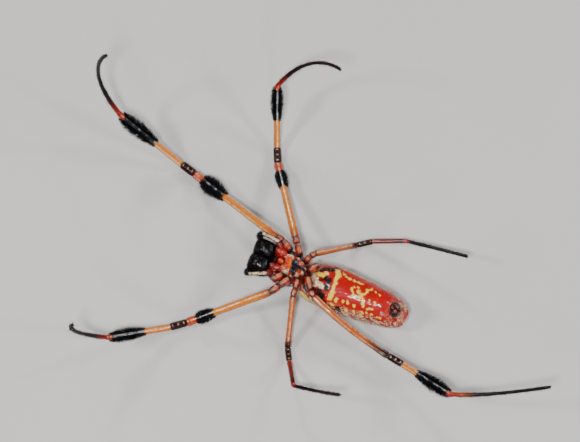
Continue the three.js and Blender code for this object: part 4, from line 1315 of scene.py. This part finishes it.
# Each jaw with its fang and its bristles, which stand mostly in front and on the outer side.
def makeJaws():
    jawSkin = blackFinish("jaw cuticle", 0.16)
    fangSkin = blackFinish("fang cuticle", 0.12)
    hair = coatFinish("jaw hair", "black", "wine")
    for side, sign in (("left", -1), ("right", 1)):
        grid = jawGrid(sign)
        jaw, fang = f"chelicera_{side}", f"fang_{side}"
        makePiece(jaw + "_skin", *shellOf(grid), jawSkin, "gloss_black_cuticle", [jaw])
        makePiece(fang + "_skin", *shellOf(fangGrid(sign)), fangSkin, "gloss_black_cuticle", [fang])
        ring = 0.15 + fade(0.3, -0.4, grid[..., 1] - jawShape["y"]) + fade(1.6, 2.1, np.abs(grid[..., 0]))
        makeCoat(jaw + "_coat", grid, ring, jawCoat, hair, "gloss_black_cuticle", 72 + sign)


feelerShape = {
    # joints from the head to the tip
    "left": [
        (-2.45, -13.35, 6.1), (-3.08, -14.1, 6.5), (-3.35, -15.5, 6.3), (-3.55, -17.0, 5.9),
        (-2.75, -17.45, 5.4),
    ],
    "right": [
        (1.95, -13.45, 6.1), (2.45, -13.95, 6.4), (2.98, -15.2, 6.3), (3.5, -16.5, 5.9), (3.0, -17.1, 5.4),
    ],
    "radius": 0.31,
    "profile": [  # place in joints from the head and size there
        (0, 1.8), (1, 1.3), (1.5, 1.0), (2.5, 0.95), (3, 0.95), (3.1, 1.2), (3.5, 1.3), (3.85, 0.9), (4, 0.3),
    ],
    "step": 0.04,
    "columns": 28,
}
feelerCoat = {"count": 900, "length": 0.5, "girth": 0.014, "slant": 42, "mess": 0.25}


# Cream with rust clouds, painted shade along the sides that leaves a pale top line as a painted highlight,
# dark red at the root and black at the club.
def feelerFinish(side):
    finish, tree, shader = newFinish(f"feeler {side} cuticle", Roughness=0.34, Coat_Weight=0.2)
    base = clouds(tree, 0.35, 4, 0.45, 0.6, "cream", "rust")
    for part, name in (("edge", "seam"), ("foot", "deepRed"), ("club", "black")):
        base = laidOver(tree, base, name, mark(tree, part))
    paint(tree, shader, base, 0.08, 0.02, 0.8, 4)
    return finish


# A feeler: a tube along its joints with eased bends, narrower at each joint, and a dark club at its end.
def makeFeelers():
    shape = feelerShape
    for side, sign in (("left", -1), ("right", 1)):
        joints = np.array(shape[side])
        run = np.append(0, np.cumsum(np.linalg.norm(np.diff(joints, axis=0), axis=1)))
        at = np.arange(0, run[-1], shape["step"])
        path = eased(np.stack([np.interp(at, run, column) for column in joints.T], -1), 5)
        place = np.interp(at, run, np.arange(len(joints)))
        dips = 1 - 0.22 * sum(hill(at, run[k], 0.1) for k in (1, 2, 3))
        radius = shape["radius"] * eased(np.interp(place, *zip(*shape["profile"])) * dips, 1.5)
        grid = tubeGrid(path, radius, np.array([0, 0.1, 1.0]), shape["columns"])
        turn = around(shape["columns"])
        # painted shade: the sides turned from the lamps darken, leaving the top as a pale painted highlight
        # line
        edge = 1 - fade(0.45, 0.85, np.sin(turn)[None] * np.ones(len(at))[:, None])
        club = fade(2.9, 3.02, place)[:, None] + 0 * turn
        foot = fade(1.05, 0.9, place)[:, None] + 0 * turn
        marks = {"edge": withPoles(edge), "club": withPoles(club, 0, 1), "foot": withPoles(foot, 1, 0)}
        stoodFor = [f"palp_{side}_arm", f"palp_{side}_tarsus"]
        makePiece(f"palp_{side}_skin", *shellOf(grid), feelerFinish(side), "pale_cuticle", stoodFor, marks)
        hair = coatFinish(f"feeler {side} hair", "black", "ink")
        makeCoat(f"palp_{side}_coat", grid, 0.15 + club, feelerCoat, hair, "gloss_black_cuticle", 75 + sign)


# A ball as a grid of rings between its poles.
def ballGrid(centre, radius, rows=26, columns=36):
    tilt = np.linspace(0.05, np.pi - 0.05, rows)[:, None]
    angle = around(columns)[None]
    x, y, z = np.sin(tilt) * np.cos(angle), np.sin(tilt) * np.sin(angle), np.cos(tilt) + 0 * angle
    return centre + radius * np.stack([x, y, z], -1)


# Eight glossy balls, each in the middle of the box of its solid.
def makeEyes():
    finish, tree, shader = newFinish("eye lens", Roughness=0.06, Coat_Weight=1.0, Coat_Roughness=0.03)
    base = clouds(tree, 0.25, 3, 0.4, 0.7, "black", "wine")
    tree.links.new(base, shader.inputs["Base Color"])
    names = [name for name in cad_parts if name.startswith("eye_")]
    shells = []
    for name in sorted(names):
        low, high = (np.array(corner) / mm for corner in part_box(name))
        shells.append(shellOf(ballGrid((low + high) / 2, (high - low).mean() / 2)))
    points, faceSets = joined(shells)
    makePiece("eyes", points, faceSets, finish, "eye", names)


makeJaws()
makeFeelers()
makeEyes()
print("jaws, feelers and eyes made")


# Spinnerets and claws

spinneretShape = {"y": 7.35, "radius": 1.25, "cone": 0.36, "length": 0.85, "out": (0.0, 0.62, 0.78)}
spinneretCoat = {"count": 90, "length": 0.3, "girth": 0.012, "slant": 35, "mess": 0.3}


# A cone with a soft ring below its blunt end, along a straight line.
def coneGrid(foot, tip, radius, columns=28):
    share = np.linspace(0, 1, 30)
    size = np.interp(share, [0, 0.5, 0.68, 0.74, 0.8, 0.93, 1], [1, 0.98, 0.93, 0.8, 0.82, 0.6, 0.3])
    path = foot + share[:, None] * (tip - foot)
    return tubeGrid(path, radius * eased(size, 1.0), np.array([1.0, 0.1, 0]), columns)


def spinneretFinish():
    finish, tree, shader = newFinish("spinneret skin", Roughness=0.3, Coat_Weight=0.9, Coat_Roughness=0.06)
    base = clouds(tree, 0.3, 4, 0.4, 0.65, "seam", "deepRed")
    base = laidOver(tree, base, "black", mark(tree, "ring"))
    base = laidOver(tree, base, "cream", mark(tree, "tip"), 0.06)
    paint(tree, shader, base, 0.08, 0.03, 0.9, 4)
    return finish


# The spinnerets: a low mound with three pairs of cones, the middle pair smaller, and a knob behind them.
def makeSpinnerets():
    shape = spinneretShape
    out = unit(np.array(shape["out"]))
    share = (shape["y"] - abdomenShape["front"]) / abdomenShape["length"]
    surface = abdomenPoints(np.array(share), np.array(0.0))
    across = np.array([1.0, 0, 0])
    down = np.cross(out, across)
    at = np.linspace(0, 1, 36)
    size = np.interp(at, [0, 0.2, 0.6, 0.8, 0.92, 1], [0.9, 1.0, 1.0, 0.94, 0.8, 0.5])
    path = surface + out * (-0.75 + 0.93 * at)[:, None]
    mound = tubeGrid(path, shape["radius"] * size * (1 + 0.015 * np.sin(26 * at)), across, 64)
    shells, cones = [shellOf(mound)], []
    for row in (-1, 0, 1):
        for side in (-1, 1):
            spread = shape["cone"] * (1.0 if row == 0 else 1.25)
            foot = surface + 0.18 * out + side * spread * across + row * 1.5 * shape["cone"] * down
            length = shape["length"] * (0.6 if row == 0 else 0.9)
            tip = foot + out * length - side * 0.12 * across - row * 0.2 * down
            cones.append(coneGrid(foot - 0.35 * out, tip, shape["cone"]))
            shells.append(shellOf(cones[-1]))
    knob = coneGrid(surface + 0.1 * out - 0.85 * down, surface + 0.45 * out - 0.95 * down, 0.3)
    shells.append(shellOf(knob))
    points, faceSets = joined(shells)
    height = (points - surface) @ out
    away = np.linalg.norm(points - surface - height[:, None] * out, axis=1)
    marks = {"tip": fade(0.45, 0.95, height), "ring": hill(away, 0.95, 0.35) * (1 - fade(0.2, 0.4, height))}
    makePiece("spinnerets_skin", points, faceSets, spinneretFinish(), "dark_cuticle", ["spinnerets"], marks)
    hair = coatFinish("spinneret hair", "wine", "russet")
    for number, grid in enumerate(cones):
        makeCoat(f"spinneret_coat_{number + 1}", grid, 1.0, spinneretCoat, hair, "dark_cuticle", 90 + number)


clawShape = {"length": 0.42, "radius": 0.045, "spread": 0.07, "hook": 0.2}


# The claws: three hooks at the end of each foot, tubes that thin to a point and curl towards the belly
# side.
def makeClaws():
    shape = clawShape
    shells = []
    share = np.linspace(0, 1, 14)
    for leg in legShape["legs"].values():
        end = {key: values[0] for key, values in legStations(leg, np.array([5.985])).items()}
        for sideways, size in ((-1, 1.0), (1, 1.0), (0, 0.7)):
            start = end["centre"] + sideways * shape["spread"] * end["side"]
            run = shape["length"] * size * share
            curl = share ** 2 * shape["hook"] * size
            path = start + run[:, None] * end["along"] + curl[:, None] * end["up"]
            radius = shape["radius"] * (1 - 0.85 * share)
            shells.append(shellOf(tubeGrid(path, radius, end["side"], 10)))
    points, faceSets = joined(shells)
    makePiece("claws", points, faceSets, blackFinish("claw", 0.2), "gloss_black_cuticle")


makeSpinnerets()
makeClaws()
print("spinnerets and claws made")


# Camera, light and floor

# Place in metres, directions as unit vectors, focal length and sensor in millimetres
view = {
    "place": (0.088846, 0.026011, 0.393475),
    "right": (-0.38268, 0.92388, 0.0),
    "up": (-0.8924, -0.36964, 0.25882),
    "back": (0.23911762, 0.09904576, 0.96592583),
    "focal": 155.17,
    "sensor": 36.0,
}


# A camera turned so that its own axes lie along right, up and back.
def makeCamera():
    data = bpy.data.cameras.new("camera")
    data.lens = view["focal"]
    data.sensor_width = view["sensor"]
    data.clip_start = 0.01
    camera = bpy.data.objects.new("camera", data)
    turned = Matrix([view["right"], view["up"], view["back"]]).transposed().to_4x4()
    turned.translation = view["place"]
    camera.matrix_world = turned
    bpy.context.scene.collection.objects.link(camera)
    bpy.context.scene.camera = camera


lamps = {
    "above": {"place": (0.15, 0.0, 0.43), "size": 0.045, "power": 1.2},
    "front": {"place": (0.15, -0.29, 0.36), "size": 0.06, "power": 0.75},
    "frontLeft": {"place": (-0.31, -0.27, 0.25), "size": 0.07, "power": 0.6},
    "back": {"place": (-0.03, 0.39, 0.29), "size": 0.07, "power": 0.6},
    "backLeft": {"place": (-0.28, 0.28, 0.28), "size": 0.07, "power": 0.5},
    "right": {"place": (0.41, 0.2, 0.2), "size": 0.08, "power": 0.5},
}
lampAim = (0, -0.01, 0.004)
lampTint = (1.0, 0.97, 0.94)
sky = {"tint": (0.9, 0.94, 1.0, 1.0), "strength": 0.1}


# Area lamps that all face the middle of the body, and a faint even sky.
def makeLamps():
    for name, lamp in lamps.items():
        data = bpy.data.lights.new(name, "AREA")
        data.size, data.energy, data.color = lamp["size"], lamp["power"], lampTint
        lampObject = bpy.data.objects.new(name, data)
        back = unit(np.array(lamp["place"]) - np.array(lampAim))
        right = unit(np.cross([0, 1, 0.001], back))
        turned = Matrix([list(right), list(np.cross(back, right)), list(back)]).transposed().to_4x4()
        turned.translation = lamp["place"]
        lampObject.matrix_world = turned
        bpy.context.scene.collection.objects.link(lampObject)
    world = bpy.data.worlds.new("studio")
    world.use_nodes = True
    background = world.node_tree.nodes["Background"]
    background.inputs["Color"].default_value = sky["tint"]
    background.inputs["Strength"].default_value = sky["strength"]
    bpy.context.scene.world = world


floorShape = {"reach": 3.0, "below": 0.0001, "tone": (0.66, 0.7)}  # in metres


def makeFloor():
    finish, tree, shader = newFinish("studio floor", Roughness=0.7)
    tone = ranged(tree, grain(tree, 60), 0.3, 0.7, *floorShape["tone"])
    tree.links.new(tone, shader.inputs["Base Color"])
    reach, z = floorShape["reach"], -floorShape["below"]
    mesh = bpy.data.meshes.new("studio_floor")
    corners = [(-reach, -reach, z), (reach, -reach, z), (reach, reach, z), (-reach, reach, z)]
    mesh.from_pydata(corners, [], [(0, 1, 2, 3)])
    mesh.materials.append(finish)
    floor = bpy.data.objects.new("studio_floor", mesh)
    bpy.context.scene.collection.objects.link(floor)


makeCamera()
makeLamps()
makeFloor()
print("studio made")
